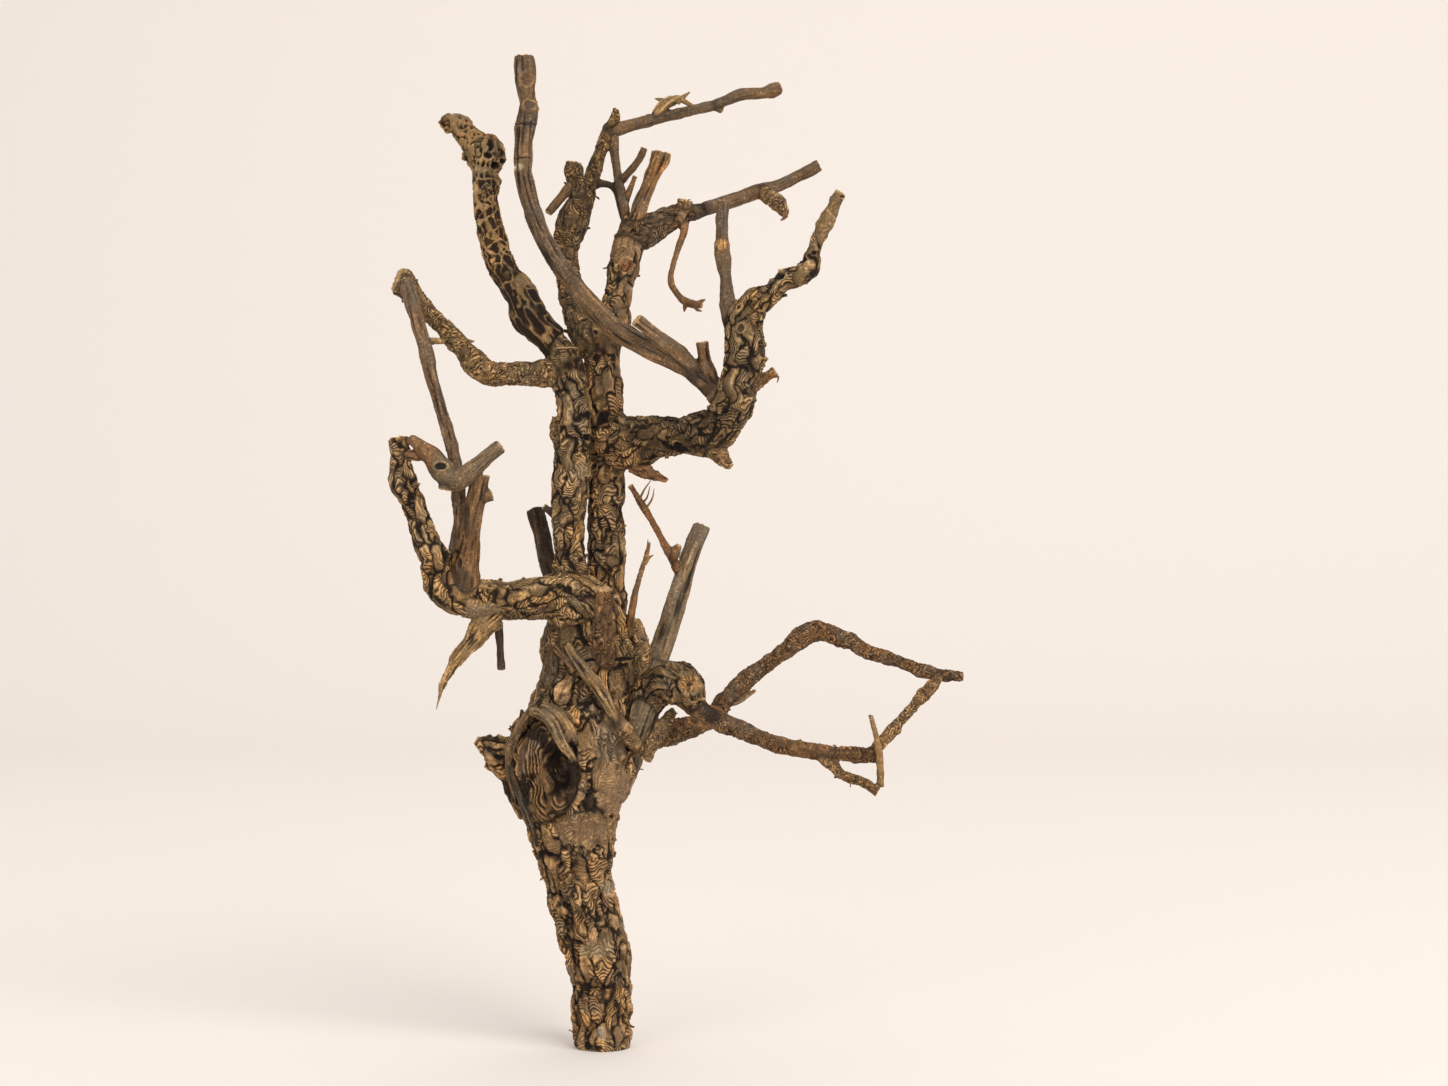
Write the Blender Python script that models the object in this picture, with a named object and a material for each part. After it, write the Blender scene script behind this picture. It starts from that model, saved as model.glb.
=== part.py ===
"""Tree-shaped driftwood that stands on its sawn foot, as one grown piece of wood.

X runs to the right, Y away from the front and Z up, and the origin is the middle of the sawn face.
Blender's unit is the metre. The limbs are written in millimetres as stations (x, y, z, radius), from the
root of each limb to its tip. A station's x, z and radius are what an eye in front of the wood sees of it on
the plane Y = 0, with heights counted from the near rim of the foot, and y is its depth. The function
in_place moves it along the line of sight to that depth.
"""

from dataclasses import dataclass

import bmesh
import bpy
from mathutils import Vector, noise

MM = 0.001

NAME = "driftwood"
HEIGHT = 279.4
FOOT_RADIUS = 8.0
HEAD_RADIUS = 18.4
DEPTH_OF_TRUNK = 0.95

# The eye in front of the wood, how much lower the near rim of the foot looks than its middle, and the
# height of the topmost station as the eye sees it
EYE = Vector((34.0, -700.0, 142.0))
RIM_DROP = 1.7
READ_TOP = 279.2
READ_SCALE = HEIGHT / (READ_TOP - RIM_DROP)

# The hollow knot on the left of the head's front, with its raised lip
KNOT_CENTRE = Vector((-16.0, -14.0, 78.5))
KNOT_HALF_WIDTH = 8.6
KNOT_HALF_HEIGHT = 11.6
KNOT_LIP = 1.6
LIP_SPREAD = 0.45
HOLLOW_CENTRE = Vector((-12.8, -14.0, 80.5))
HOLLOW_HALF_WIDTH = 5.5
HOLLOW_HALF_HEIGHT = 7.5
HOLLOW_DEPTH = 5.0

# How far the bark stands up, and how far apart its ridges lie
RIDGE_SPACING = 5.0
FOOT_CLEAR = 1.5

WOOD_COLOUR = (0.19, 0.125, 0.07, 1.0)
WOOD_ROUGHNESS = 0.85


@dataclass(frozen=True)
class Bark:
    """The relief of one kind of surface, in millimetres."""

    height: float
    ring_gap: float


THICK = Bark(height=1.2, ring_gap=3.5)
PLATED = Bark(height=0.85, ring_gap=4.3)
FINE = Bark(height=0.5, ring_gap=4.8)
SMOOTH = Bark(height=0.15, ring_gap=7.2)
TWIG = Bark(height=0.08, ring_gap=7.2)


@dataclass(frozen=True)
class Limb:
    """A limb as stations (x, y, z, radius) in millimetres, from its root to its tip."""

    name: str
    bark: Bark
    sides: int
    stations: tuple


TRUNK = Limb("trunk", THICK, 22, (
    (-0.3, 0, RIM_DROP, FOOT_RADIUS - 0.2),
    (-0.3, 0, 5, FOOT_RADIUS),
    (-0.6, 0, 10, FOOT_RADIUS + 0.1),
    (-1.3, 0, 19, 8.6),
    (-1.6, 0, 26, 9.5),
    (-4.2, 0, 37, 9.3),
    (-6.1, 0, 44, 9.7),
    (-6.8, 0, 50, 10.1),
    (-8.2, 0, 58, 11.5),
    (-8.8, 0, 65, 13.0),
    (-9.4, 0, 72, 16.6),
    (-9.2, 0, 78, HEAD_RADIUS),
    (-8.2, 0, 85, HEAD_RADIUS),
    (-6.6, 0, 91, 16.7),
    (-5.4, 0, 98, 14.3),
    (-3.8, 0, 105, 12.7),
    (-4.8, 0, 113, 12.8),
    (-4.6, 0, 121, 11.2),
    (-4.4, 0, 130, 7.5),
))

LIMBS = (
    # The two trunks that rise side by side from the head
    Limb("left_trunk", PLATED, 12, (
        (-7.0, -3, 116, 6.0),
        (-8.4, -4, 129, 5.9),
        (-9.7, -4, 140, 4.3),
        (-9.8, -4, 149, 4.6),
        (-9.0, -4, 160, 4.9),
        (-8.4, -4, 171, 5.0),
        (-8.8, -4, 184, 4.7),
        (-10.6, -4, 191, 5.1),
        (-11.4, -4, 197, 4.6),
    )),
    Limb("right_trunk", PLATED, 12, (
        (-1.0, 4, 115, 7.0),
        (0.6, 4, 129, 5.8),
        (0.8, 4, 140, 5.2),
        (0.6, 4, 149, 5.1),
        (0.8, 4, 160, 5.3),
        (0.8, 4, 171, 5.5),
        (0.3, 4.5, 183, 5.4),
        (-0.2, 5, 195, 5.1),
        (0.6, 5, 202, 4.6),
    )),
    # The crown above the right trunk, which leans back
    Limb("crown", PLATED, 12, (
        (-0.2, 5, 197, 4.9),
        (3.0, 5.5, 204, 4.5),
        (3.8, 7.5, 211, 3.9),
        (5.6, 10, 219, 4.2),
        (7.0, 12.5, 226.5, 4.4),
        (8.4, 14.5, 232.5, 3.4),
    )),
    Limb("crown_stub", SMOOTH, 8, (
        (7.0, 13, 228, 2.8),
        (9.0, 12.5, 233, 2.3),
        (10.9, 12, 239, 2.0),
        (13.7, 11.5, 245.6, 2.0),
        (15.6, 11, 250, 2.5),
        (16.1, 11, 252, 2.8),
    )),
    Limb("crown_arm", FINE, 10, (
        (7.6, 13.5, 228.6, 5.2),
        (14.0, 16, 231.2, 4.5),
        (19.8, 18, 234.0, 3.4),
        (24.4, 19, 235, 2.5),
        (28.6, 20, 236.3, 2.0),
        (36.1, 22, 238.6, 2.1),
        (44.2, 24, 241.4, 2.0),
        (49.6, 26, 243, 1.8),
        (54.9, 27.5, 245.6, 1.7),
        (60.2, 29, 248.4, 1.8),
    )),
    Limb("crown_arm_bud", FINE, 8, (
        (21.8, 18.5, 234, 2.2),
        (22.9, 17.5, 238.8, 2.2),
    )),
    Limb("crown_claw", TWIG, 8, (
        (44.5, 24, 241.0, 2.2),
        (48.6, 21, 238.2, 2.2),
        (51.0, 20, 234.4, 1.1),
    )),
    Limb("curly_twig", TWIG, 6, (
        (22.7, 18.5, 233.5, 1.5),
        (22.4, 16.5, 229.5, 1.1),
        (21.3, 15, 226.5, 0.9),
        (19.6, 13.5, 221, 0.85),
        (18.8, 12, 216, 0.85),
        (21.0, 10.5, 212, 0.9),
        (23.6, 9, 210, 1.2),
        (27.7, 8, 209.2, 0.9),
    )),
    # The knobbly limb at the back, with its twigs
    Limb("back_limb", PLATED, 10, (
        (-2.5, 5, 197, 4.6),
        (-5.6, 8, 203, 4.9),
        (-7.8, 12, 209, 3.7),
        (-9.6, 15.5, 216, 3.5),
        (-10.5, 18.5, 224, 3.2),
        (-9.3, 21, 230.7, 4.3),
        (-6.5, 23, 237.7, 3.7),
        (-3.7, 24.5, 243.6, 2.5),
        (-1.4, 26, 250, 2.0),
        (0.8, 27, 256.5, 2.0),
        (2.6, 27.5, 260, 1.6),
        (3.4, 28, 264.3, 1.0),
    )),
    Limb("back_arm", TWIG, 8, (
        (1.5, 27, 257.5, 1.8),
        (6.0, 28, 259.2, 1.7),
        (13.7, 29.5, 261.2, 1.6),
        (22.1, 31, 263.2, 1.5),
        (30.8, 32.5, 265.2, 1.5),
        (38.4, 34, 268.2, 1.7),
        (44.8, 35, 268.8, 1.6),
        (47.2, 35.5, 269.4, 2.3),
        (49.4, 36, 270.2, 1.9),
    )),
    Limb("back_knob", FINE, 8, (
        (-5.8, 22.5, 236, 2.8),
        (-7.6, 21.5, 243, 2.4),
        (-8.4, 21, 247.5, 2.7),
        (-8.1, 21, 249.3, 2.2),
    )),
    Limb("back_knob_twig", TWIG, 6, (
        (-7.6, 21.5, 244.5, 1.5),
        (-10.0, 20, 241.8, 1.25),
        (-15.4, 18, 235, 1.15),
    )),
    Limb("inner_twig", TWIG, 6, (
        (2.6, 27.5, 258, 1.5),
        (3.4, 25.5, 251, 1.2),
        (4.2, 23, 244.4, 1.25),
        (5.6, 19.5, 239, 1.25),
        (6.8, 15, 231, 1.3),
    )),
    Limb("inner_side_twig", TWIG, 6, (
        (4.4, 23, 243.5, 1.1),
        (9.2, 21, 249, 1.1),
        (11.6, 20.5, 253.4, 0.9),
    )),
    # The pitted limb that rises to the left from the left trunk's broken top and leans back
    Limb("pitted_limb", PLATED, 10, (
        (-10.0, -4, 192, 4.8),
        (-14.2, -3.5, 199, 3.9),
        (-20.2, -2, 205.8, 4.7),
        (-24.2, 0.5, 213.4, 4.2),
        (-29.2, 3.5, 221.8, 3.9),
        (-31.6, 6.5, 229.9, 3.8),
        (-32.6, 9, 237.7, 3.9),
        (-33.4, 11, 245.8, 4.1),
        (-33.3, 12.5, 250.8, 6.2),
        (-36.4, 13.5, 255.0, 4.3),
        (-39.8, 14.5, 258.8, 3.3),
        (-42.8, 15, 260.0, 2.7),
        (-45.0, 15.5, 258.8, 2.0),
    )),
    # The elbowed limb on the left, and the long stick that leans on its knob
    Limb("left_elbow", FINE, 10, (
        (-9.5, -4, 190.6, 4.2),
        (-16.2, -5, 190.2, 4.3),
        (-24.4, -7, 189.9, 3.4),
        (-31.4, -8.5, 190.0, 3.7),
        (-34.6, -9.5, 191.8, 3.6),
        (-39.0, -10, 196.4, 3.0),
        (-44.6, -11, 202.9, 2.8),
        (-48.8, -12, 207.2, 2.6),
        (-53.3, -13, 212.2, 3.0),
        (-56.4, -13.5, 215.7, 4.3),
        (-58.2, -14, 216.4, 3.2),
    )),
    Limb("leaning_stick", SMOOTH, 8, (
        (-40.2, -14, 132, 2.4),
        (-41.0, -13, 142, 1.9),
        (-40.6, -13.5, 150, 1.85),
        (-40.4, -14.5, 157, 1.85),
        (-41.8, -15.5, 166.5, 1.8),
        (-44.8, -16.5, 177.8, 1.85),
        (-47.3, -17.5, 186.8, 1.9),
        (-49.6, -18, 196, 1.9),
        (-52.4, -18.2, 205.8, 2.0),
        (-54.4, -18, 213.5, 2.0),
        (-55.0, -17.5, 216.5, 2.0),
    )),
    # The lower left limb with its burl, its three forks and its broken spike
    Limb("left_limb", PLATED, 12, (
        (-3.0, -2, 123.5, 8.0),
        (-9.0, -5.5, 126.3, 9.0),
        (-15.0, -7.5, 127.4, 6.6),
        (-21.0, -9.5, 127.2, 5.8),
        (-27.7, -11.5, 126.6, 5.3),
        (-35.3, -13.5, 126.8, 5.4),
        (-41.0, -15, 127.8, 5.1),
        (-45.0, -16, 129.8, 4.9),
        (-46.4, -16.5, 134.6, 4.3),
        (-47.5, -17, 139.4, 4.0),
        (-50.5, -17.5, 144.8, 3.8),
        (-52.1, -18, 150.1, 3.4),
        (-54.3, -18, 155.5, 3.2),
        (-56.0, -18, 159.9, 4.2),
        (-56.5, -18, 163.5, 3.0),
        (-56.7, -18, 167, 2.5),
        (-57.1, -18, 172.4, 2.7),
    )),
    Limb("grey_fork", FINE, 10, (
        (-54.4, -20, 172, 1.3),
        (-51.5, -20.5, 170, 2.0),
        (-48.0, -20.5, 166.8, 2.9),
        (-44.5, -20.5, 162.4, 3.3),
        (-41.2, -20.5, 160.2, 3.3),
        (-36.8, -20.8, 163.2, 2.5),
        (-32.5, -21, 166.8, 2.2),
        (-28.6, -21, 169.8, 1.9),
    )),
    Limb("grey_fork_heel", FINE, 8, (
        (-43.0, -20.5, 161.5, 2.8),
        (-43.8, -20.5, 157.6, 2.5),
    )),
    Limb("grey_fork_link", TWIG, 6, (
        (-56.2, -18.5, 167.6, 1.6),
        (-52.5, -19.5, 167.3, 1.4),
        (-49.0, -20.5, 167.2, 1.6),
    )),
    Limb("middle_fork", FINE, 10, (
        (-39.0, -15, 128, 4.4),
        (-38.8, -16, 134.1, 4.0),
        (-38.0, -17, 139.4, 3.3),
        (-37.0, -18, 147, 2.7),
        (-35.7, -18.5, 154, 2.6),
        (-34.0, -18.5, 161.8, 2.4),
    )),
    Limb("middle_fork_bud", FINE, 8, (
        (-34.2, -18.5, 155.4, 1.9),
        (-31.2, -18.5, 156.4, 1.6),
    )),
    Limb("broken_spike", FINE, 8, (
        (-30.5, -12.5, 122.5, 3.8),
        (-34.0, -14, 119.4, 3.5),
        (-36.8, -16, 115.0, 2.4),
        (-41.5, -18.5, 109.5, 1.6),
        (-44.6, -20, 103.6, 0.9),
        (-46.1, -21, 99, 0.4),
    )),
    Limb("down_twig", TWIG, 6, (
        (-30.0, -10, 123, 1.4),
        (-29.3, -10, 117.6, 1.2),
        (-28.6, -10, 107.2, 1.05),
    )),
    # The right cup limb, which comes forward, and what grows on it
    Limb("right_limb", PLATED, 12, (
        (0.8, 3.5, 170.6, 7.0),
        (9.0, -1, 170.6, 7.4),
        (15.0, -5, 172.4, 5.8),
        (21.6, -10, 172.6, 5.2),
        (28.8, -15, 173.4, 6.6),
        (32.8, -18, 174.6, 5.4),
        (35.3, -20, 178.8, 5.8),
        (36.7, -21, 183, 5.8),
        (38.4, -22, 189.6, 5.5),
        (39.9, -23, 196.6, 5.8),
        (39.4, -23, 203.6, 5.7),
        (41.6, -23.5, 208.9, 4.5),
        (46.0, -26, 212.1, 3.3),
        (51.2, -29, 216.2, 2.8),
        (57.0, -32, 219.6, 3.4),
        (59.1, -33.5, 224.6, 2.5),
        (61.4, -35, 230.7, 2.2),
        (64.3, -36.5, 236.6, 1.9),
        (66.4, -38, 241, 1.7),
    )),
    Limb("right_limb_spur", FINE, 8, (
        (40.5, -23, 186.5, 2.6),
        (44.8, -24, 188.6, 1.8),
        (48.2, -25, 190.4, 1.2),
    )),
    Limb("right_limb_heel", FINE, 8, (
        (30.6, -17, 170.6, 3.6),
        (33.2, -18.5, 166.8, 2.4),
        (35.8, -19.5, 164, 1.1),
    )),
    Limb("right_limb_splinter", TWIG, 6, (
        (9.0, -2, 165, 3.0),
        (13.0, -4, 162.2, 1.7),
        (18.0, -6, 160.4, 0.6),
    )),
    Limb("right_limb_shoot", FINE, 8, (
        (37.4, -22.5, 202.5, 3.4),
        (35.2, -20.5, 208.5, 2.7),
        (34.6, -18, 213, 1.9),
        (34.2, -16, 217, 1.8),
        (33.3, -13, 223.6, 2.4),
        (33.3, -11.5, 228, 1.9),
        (33.3, -8, 238.2, 1.7),
    )),
    # The smooth limb that sweeps across the front and then leans back to the top
    Limb("sweeping_limb", SMOOTH, 8, (
        (34.6, -20, 181.4, 3.6),
        (31.4, -19.5, 185.5, 3.3),
        (26.9, -20, 189.3, 3.0),
        (21.8, -21, 193, 2.8),
        (14.8, -21.5, 196.5, 3.2),
        (8.4, -21.5, 199.6, 2.9),
        (2.0, -20.5, 204, 2.9),
        (-3.7, -19, 209.5, 2.7),
        (-8.9, -17, 215.9, 2.6),
        (-13.3, -14.5, 221.9, 2.5),
        (-17.2, -12, 228.6, 2.5),
        (-19.7, -9.5, 235.2, 2.4),
        (-21.8, -6.5, 243.3, 2.4),
        (-22.5, -4.5, 249.2, 2.4),
        (-22.1, -2, 256.5, 2.3),
        (-21.3, -0.5, 263.5, 2.7),
        (-21.6, 0, 267.4, 2.4),
        (-22.1, 0, 272.7, 2.8),
        (-22.4, 0, READ_TOP, 2.5),
    )),
    Limb("sweeping_limb_fork", SMOOTH, 8, (
        (26.0, -20.4, 190, 2.7),
        (21.4, -23, 195.4, 2.2),
        (15.0, -26, 200.4, 2.0),
        (9.0, -28.5, 205, 1.9),
    )),
    Limb("sweeping_limb_stub", SMOOTH, 8, (
        (30.0, -19.5, 186.5, 3.2),
        (28.8, -20.5, 191, 2.6),
        (28.2, -21.5, 194.5, 2.0),
        (27.7, -22, 199, 1.75),
    )),
    # The stubs and sticks round the trunks
    Limb("dark_stub", SMOOTH, 8, (
        (-11.0, 1, 126, 2.6),
        (-15.0, 4.5, 136, 2.4),
        (-18.9, 8, 152.3, 2.3),
    )),
    Limb("small_stub", TWIG, 6, (
        (-11.0, -3.5, 148.5, 1.4),
        (-16.8, -5, 153, 1.1),
    )),
    Limb("front_stub", SMOOTH, 8, (
        (-0.6, -6, 107, 4.8),
        (-0.3, -11.5, 114, 3.4),
        (0.0, -15.5, 122, 2.8),
        (0.3, -19, 130, 1.9),
    )),
    Limb("split_stick", SMOOTH, 6, (
        (-9.8, -11.5, 114.2, 1.6),
        (-6.0, -12.5, 108, 1.8),
        (-0.8, -13, 101, 1.9),
        (2.2, -13, 95.5, 1.7),
    )),
    Limb("flank_stem", FINE, 8, (
        (12.2, -0.5, 97, 2.6),
        (10.8, -1, 106.5, 2.9),
        (10.6, -1.5, 114.5, 2.3),
        (8.2, -1.5, 121, 2.0),
    )),
    Limb("thin_twig", TWIG, 6, (
        (7.2, -2, 117, 1.3),
        (8.4, -3, 126.3, 0.9),
        (9.8, -4.5, 132.2, 0.8),
        (11.8, -6, 138.6, 0.7),
        (12.9, -7, 142.8, 0.4),
    )),
    # The right side of the head: the grey stub, the round knob and the two arms that meet in a loop
    Limb("grey_stub", SMOOTH, 12, (
        (1.0, 0, 76, 7.4),
        (5.4, 0, 85.5, 6.4),
        (9.4, 0, 92, 5.5),
        (11.2, 0.5, 97, 4.7),
        (12.9, 1, 103, 3.9),
        (15.2, 2, 110, 3.3),
        (17.6, 3.5, 117.6, 2.9),
        (20.6, 6, 127.7, 2.7),
        (23.8, 8.5, 137.8, 2.5),
        (27.6, 11, 147.6, 2.2),
    )),
    Limb("brown_twig", TWIG, 6, (
        (21.8, 7.0, 132.5, 1.3),
        (19.8, 6, 137.5, 1.2),
        (13.8, 2, 148.5, 1.0),
        (7.5, -1.5, 158.8, 0.8),
    )),
    Limb("round_knob", PLATED, 12, (
        (10.0, -2.5, 96, 5.4),
        (15.6, -5.5, 102.4, 5.6),
        (20.5, -8, 103.5, 6.3),
        (24.2, -10, 101.6, 4.9),
        (25.8, -11, 98, 3.4),
    )),
    Limb("front_arm", FINE, 8, (
        (22.8, -9, 100, 3.8),
        (27.9, -11.5, 95.4, 2.8),
        (32.0, -12.5, 93, 2.6),
        (37.2, -13.5, 91, 2.5),
        (46.8, -15, 87.2, 2.4),
        (56.8, -15, 84.7, 2.4),
        (66.9, -14, 83.6, 2.0),
        (76.7, -13, 83.4, 2.1),
    )),
    Limb("front_arm_link", TWIG, 8, (
        (74.6, -13, 83.5, 1.7),
        (77.5, -11.5, 86.5, 1.7),
        (82.9, -8, 92.3, 1.7),
        (87.8, -4, 98.4, 1.7),
        (92.4, 0.5, 103, 1.6),
        (94.1, 3.3, 106, 1.5),
    )),
    Limb("front_arm_twig", TWIG, 8, (
        (59.4, -15, 84.4, 1.7),
        (66.9, -16, 77.8, 1.5),
        (72.5, -16.5, 75.8, 1.5),
        (76.8, -16.5, 73.2, 1.8),
    )),
    Limb("pale_twig", TWIG, 6, (
        (74.8, -14.5, 94.6, 0.6),
        (76.4, -14.8, 88.5, 0.9),
        (77.4, -15.0, 82, 1.0),
        (77.6, -16, 74.5, 1.0),
    )),
    Limb("rear_arm", FINE, 8, (
        (4.0, 1, 84.5, 5.6),
        (13.0, 3.5, 88.8, 4.5),
        (19.3, 6, 90.0, 3.7),
        (25.0, 8, 91.4, 3.2),
        (29.8, 10, 93.6, 2.8),
        (33.8, 11, 98.4, 2.5),
        (39.8, 12, 104.2, 2.6),
        (46.8, 12, 109.6, 2.4),
        (52.6, 12, 113.9, 2.6),
        (57.6, 11.5, 117.8, 3.2),
        (60.8, 11, 118.3, 2.8),
        (64.4, 10, 117.0, 2.6),
        (69.7, 9, 114.6, 2.4),
        (73.9, 8, 112.3, 2.1),
        (80.6, 6.5, 110.1, 1.8),
        (87.4, 5, 107.9, 1.8),
        (94.1, 3.5, 105.8, 1.8),
        (100.8, 3, 105.6, 1.1),
    )),
    # The broken spur and the loose bark on the head
    Limb("head_spur", PLATED, 12, (
        (-18.0, -2, 81, 8.5),
        (-25.0, -3, 82.4, 7.4),
        (-29.4, -3.5, 84.0, 5.5),
        (-33.0, -4, 86.2, 3.0),
        (-35.8, -4, 87.4, 1.2),
    )),
    Limb("bark_flap", FINE, 8, (
        (-18.0, -11.5, 94.0, 1.6),
        (-13.6, -14.4, 91.6, 1.9),
        (-11.4, -15.8, 86.4, 1.8),
        (-9.0, -16.2, 83.8, 1.5),
        (-6.0, -15.6, 82.6, 1.2),
    )),
    Limb("long_bark_strip", FINE, 6, (
        (-26.4, -4, 79, 2.3),
        (-25.2, -5, 72, 1.8),
        (-22.6, -5, 65.5, 0.8),
    )),
    Limb("short_bark_strip", FINE, 6, (
        (-21.6, -6, 73, 1.8),
        (-20.2, -6.5, 67, 1.6),
        (-18.6, -6, 61, 0.8),
    )),
    # Small spurs, buds, links and flakes
    Limb("inner_link", TWIG, 6, (
        (-2.6, 24.5, 243.2, 1.4),
        (2.2, 24, 242.8, 1.1),
        (4.6, 21.5, 238.5, 1.2),
        (6.6, 16.5, 231.5, 1.3),
    )),
    Limb("inner_spur", TWIG, 6, (
        (5.6, 19.5, 236.5, 1.1),
        (7.4, 19.5, 241.5, 0.95),
        (9.0, 19.5, 245.4, 0.6),
    )),
    Limb("back_arm_flake", TWIG, 6, (
        (14.4, 29.5, 261.8, 1.3),
        (17.6, 30, 265.6, 1.4),
        (21.8, 30.5, 267.2, 1.0),
    )),
    Limb("back_arm_bump", TWIG, 6, (
        (31.0, 32.5, 265.4, 1.4),
        (33.2, 32.8, 263.4, 0.9),
    )),
    Limb("elbow_stub", FINE, 6, (
        (-55.8, -13.6, 216.4, 1.8),
        (-55.6, -13.8, 219.6, 1.1),
    )),
    Limb("stick_spur", TWIG, 6, (
        (-50.8, -18, 198.8, 1.2),
        (-47.4, -17.5, 199.4, 0.9),
        (-44.6, -17, 199.2, 0.6),
    )),
    Limb("trunk_flake", TWIG, 6, (
        (-12.0, -6, 171, 1.6),
        (-15.0, -6.5, 175.6, 1.2),
        (-14.6, -6.5, 180.4, 0.6),
    )),
    Limb("trunk_splinter", TWIG, 6, (
        (-13.4, -11.4, 113.4, 0.6),
        (-10.8, -12.4, 110.8, 1.0),
        (-7.4, -12.4, 107.4, 0.9),
    )),
    Limb("brown_bud", TWIG, 6, (
        (19.0, 5.8, 137.6, 1.1),
        (20.2, 5.4, 140.4, 1.7),
        (21.2, 5.2, 142.2, 0.8),
    )),
    Limb("rear_arm_strip", TWIG, 6, (
        (33.8, 10.5, 97.6, 1.2),
        (38.2, 10.5, 98.8, 0.9),
        (42.6, 10.5, 101.4, 0.6),
    )),
    Limb("front_arm_bridge", TWIG, 6, (
        (64.2, -14.6, 83.6, 1.0),
        (65.4, -15.4, 80.6, 0.8),
        (66.6, -15.8, 78.2, 1.0),
    )),
)


def clear_scene():
    """Remove every object of the startup scene."""
    for obj in list(bpy.data.objects):
        bpy.data.objects.remove(obj)


def new_collection(name):
    """Return a new collection inside the scene's own."""
    collection = bpy.data.collections.new(name)
    bpy.context.scene.collection.children.link(collection)
    return collection


def spline_value(before, start, end, after, t):
    """Return the Catmull-Rom value at t between two numbers and their neighbours."""
    straight = 2 * start + (end - before) * t
    bend = (2 * before - 5 * start + 4 * end - after) * t * t
    twist = (3 * start - before - 3 * end + after) * t * t * t
    return (straight + bend + twist) / 2


def in_place(station):
    """Return a station at its real place and radius, on its line of sight at its own depth."""
    x, y, z, radius = station
    seen = Vector((x, 0.0, z - RIM_DROP)) * READ_SCALE
    nearness = 1 - y / EYE.y
    place = EYE + (seen - EYE) * nearness
    return (place.x, place.y, place.z, radius * READ_SCALE * nearness)


def smooth_route(stations, gap):
    """Return stations about one gap apart on a smooth curve through the given ones."""
    stations = [in_place(station) for station in stations]
    padded = (stations[0], *stations, stations[-1])
    route = [stations[0]]
    for i in range(1, len(padded) - 2):
        near = padded[i - 1:i + 3]
        length = (Vector(near[2][:3]) - Vector(near[1][:3])).length
        steps = max(1, round(length / gap))
        for step in range(1, steps + 1):
            t = step / steps
            route.append(tuple(spline_value(*(s[axis] for s in near), t) for axis in range(4)))
    return route


def tube_mesh(limb):
    """Return a closed tube mesh along the limb's route, with its own radius at each station."""
    route = smooth_route(limb.stations, limb.bark.ring_gap)
    curve = bpy.data.curves.new(limb.name, "CURVE")
    curve.dimensions = "3D"
    curve.bevel_depth = MM
    curve.bevel_resolution = limb.sides // 2 - 2
    curve.use_fill_caps = True
    spline = curve.splines.new("POLY")
    spline.points.add(len(route) - 1)
    for point, (x, y, z, radius) in zip(spline.points, route):
        point.co = (x * MM, y * MM, z * MM, 1.0)
        point.radius = radius
    guide = bpy.data.objects.new(limb.name + "_guide", curve)
    bpy.context.scene.collection.objects.link(guide)
    bpy.context.view_layer.update()
    evaluated = guide.evaluated_get(bpy.context.evaluated_depsgraph_get())
    mesh = bpy.data.meshes.new_from_object(evaluated)
    bpy.data.objects.remove(guide)
    bpy.data.curves.remove(curve)
    mesh.name = limb.name
    return mesh


def bark_height(place, height):
    """Return how far the bark stands out at a place in millimetres, as broken ridges between furrows."""
    coarse = noise.noise(place / RIDGE_SPACING)
    fine = noise.noise(place * 2 / RIDGE_SPACING + Vector((7, 3, 5)))
    return height * (0.5 - 1.6 * abs(coarse) + 0.7 * fine)


def reach_from(place, centre, half_width, half_height):
    """Return how far a place lies from an upright oval's centre, with 1 on its edge."""
    across = (place.x - centre.x) / half_width
    up = (place.z - centre.z) / half_height
    return (across * across + up * up) ** 0.5


def knot_height(place):
    """Return the rise of the knot's lip, or the fall of its hollow, at a place in millimetres."""
    if place.y > KNOT_CENTRE.y / 3:
        return 0.0
    to_lip = reach_from(place, KNOT_CENTRE, KNOT_HALF_WIDTH, KNOT_HALF_HEIGHT)
    to_hollow = reach_from(place, HOLLOW_CENTRE, HOLLOW_HALF_WIDTH, HOLLOW_HALF_HEIGHT)
    lip = KNOT_LIP * max(0.0, 1 - abs(to_lip - 1) / LIP_SPREAD)
    return lip - HOLLOW_DEPTH * max(0.0, 1 - to_hollow)


def raise_surface(bm, limb):
    """Move the tube's points along their normals by the bark's height, and keep the sawn face flat."""
    bm.normal_update()
    moves = []
    for vert in bm.verts:
        place = vert.co / MM
        rise = bark_height(place, limb.bark.height)
        if limb is TRUNK:
            rise += knot_height(place)
            rise *= min(1.0, place.z / FOOT_CLEAR)
        moves.append(vert.normal * rise * MM)
    for vert, move in zip(bm.verts, moves):
        vert.co += move


def limb_object(limb, collection):
    """Return the limb as a closed mesh object with its bark raised."""
    mesh = tube_mesh(limb)
    bm = bmesh.new()
    bm.from_mesh(mesh)
    bmesh.ops.remove_doubles(bm, verts=bm.verts, dist=0.01 * MM)
    bmesh.ops.triangulate(bm, faces=[face for face in bm.faces if len(face.verts) > 4])
    bmesh.ops.recalc_face_normals(bm, faces=bm.faces)
    if limb is TRUNK:
        for vert in bm.verts:
            vert.co.y *= DEPTH_OF_TRUNK
    raise_surface(bm, limb)
    bm.to_mesh(mesh)
    bm.free()
    obj = bpy.data.objects.new(limb.name, mesh)
    collection.objects.link(obj)
    return obj


def wood_material():
    """Return the weathered wood's material."""
    material = bpy.data.materials.new("weathered_wood")
    material.use_nodes = True
    shader = material.node_tree.nodes["Principled BSDF"]
    shader.inputs["Base Color"].default_value = WOOD_COLOUR
    shader.inputs["Roughness"].default_value = WOOD_ROUGHNESS
    shader.inputs["Metallic"].default_value = 0.0
    return material


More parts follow.
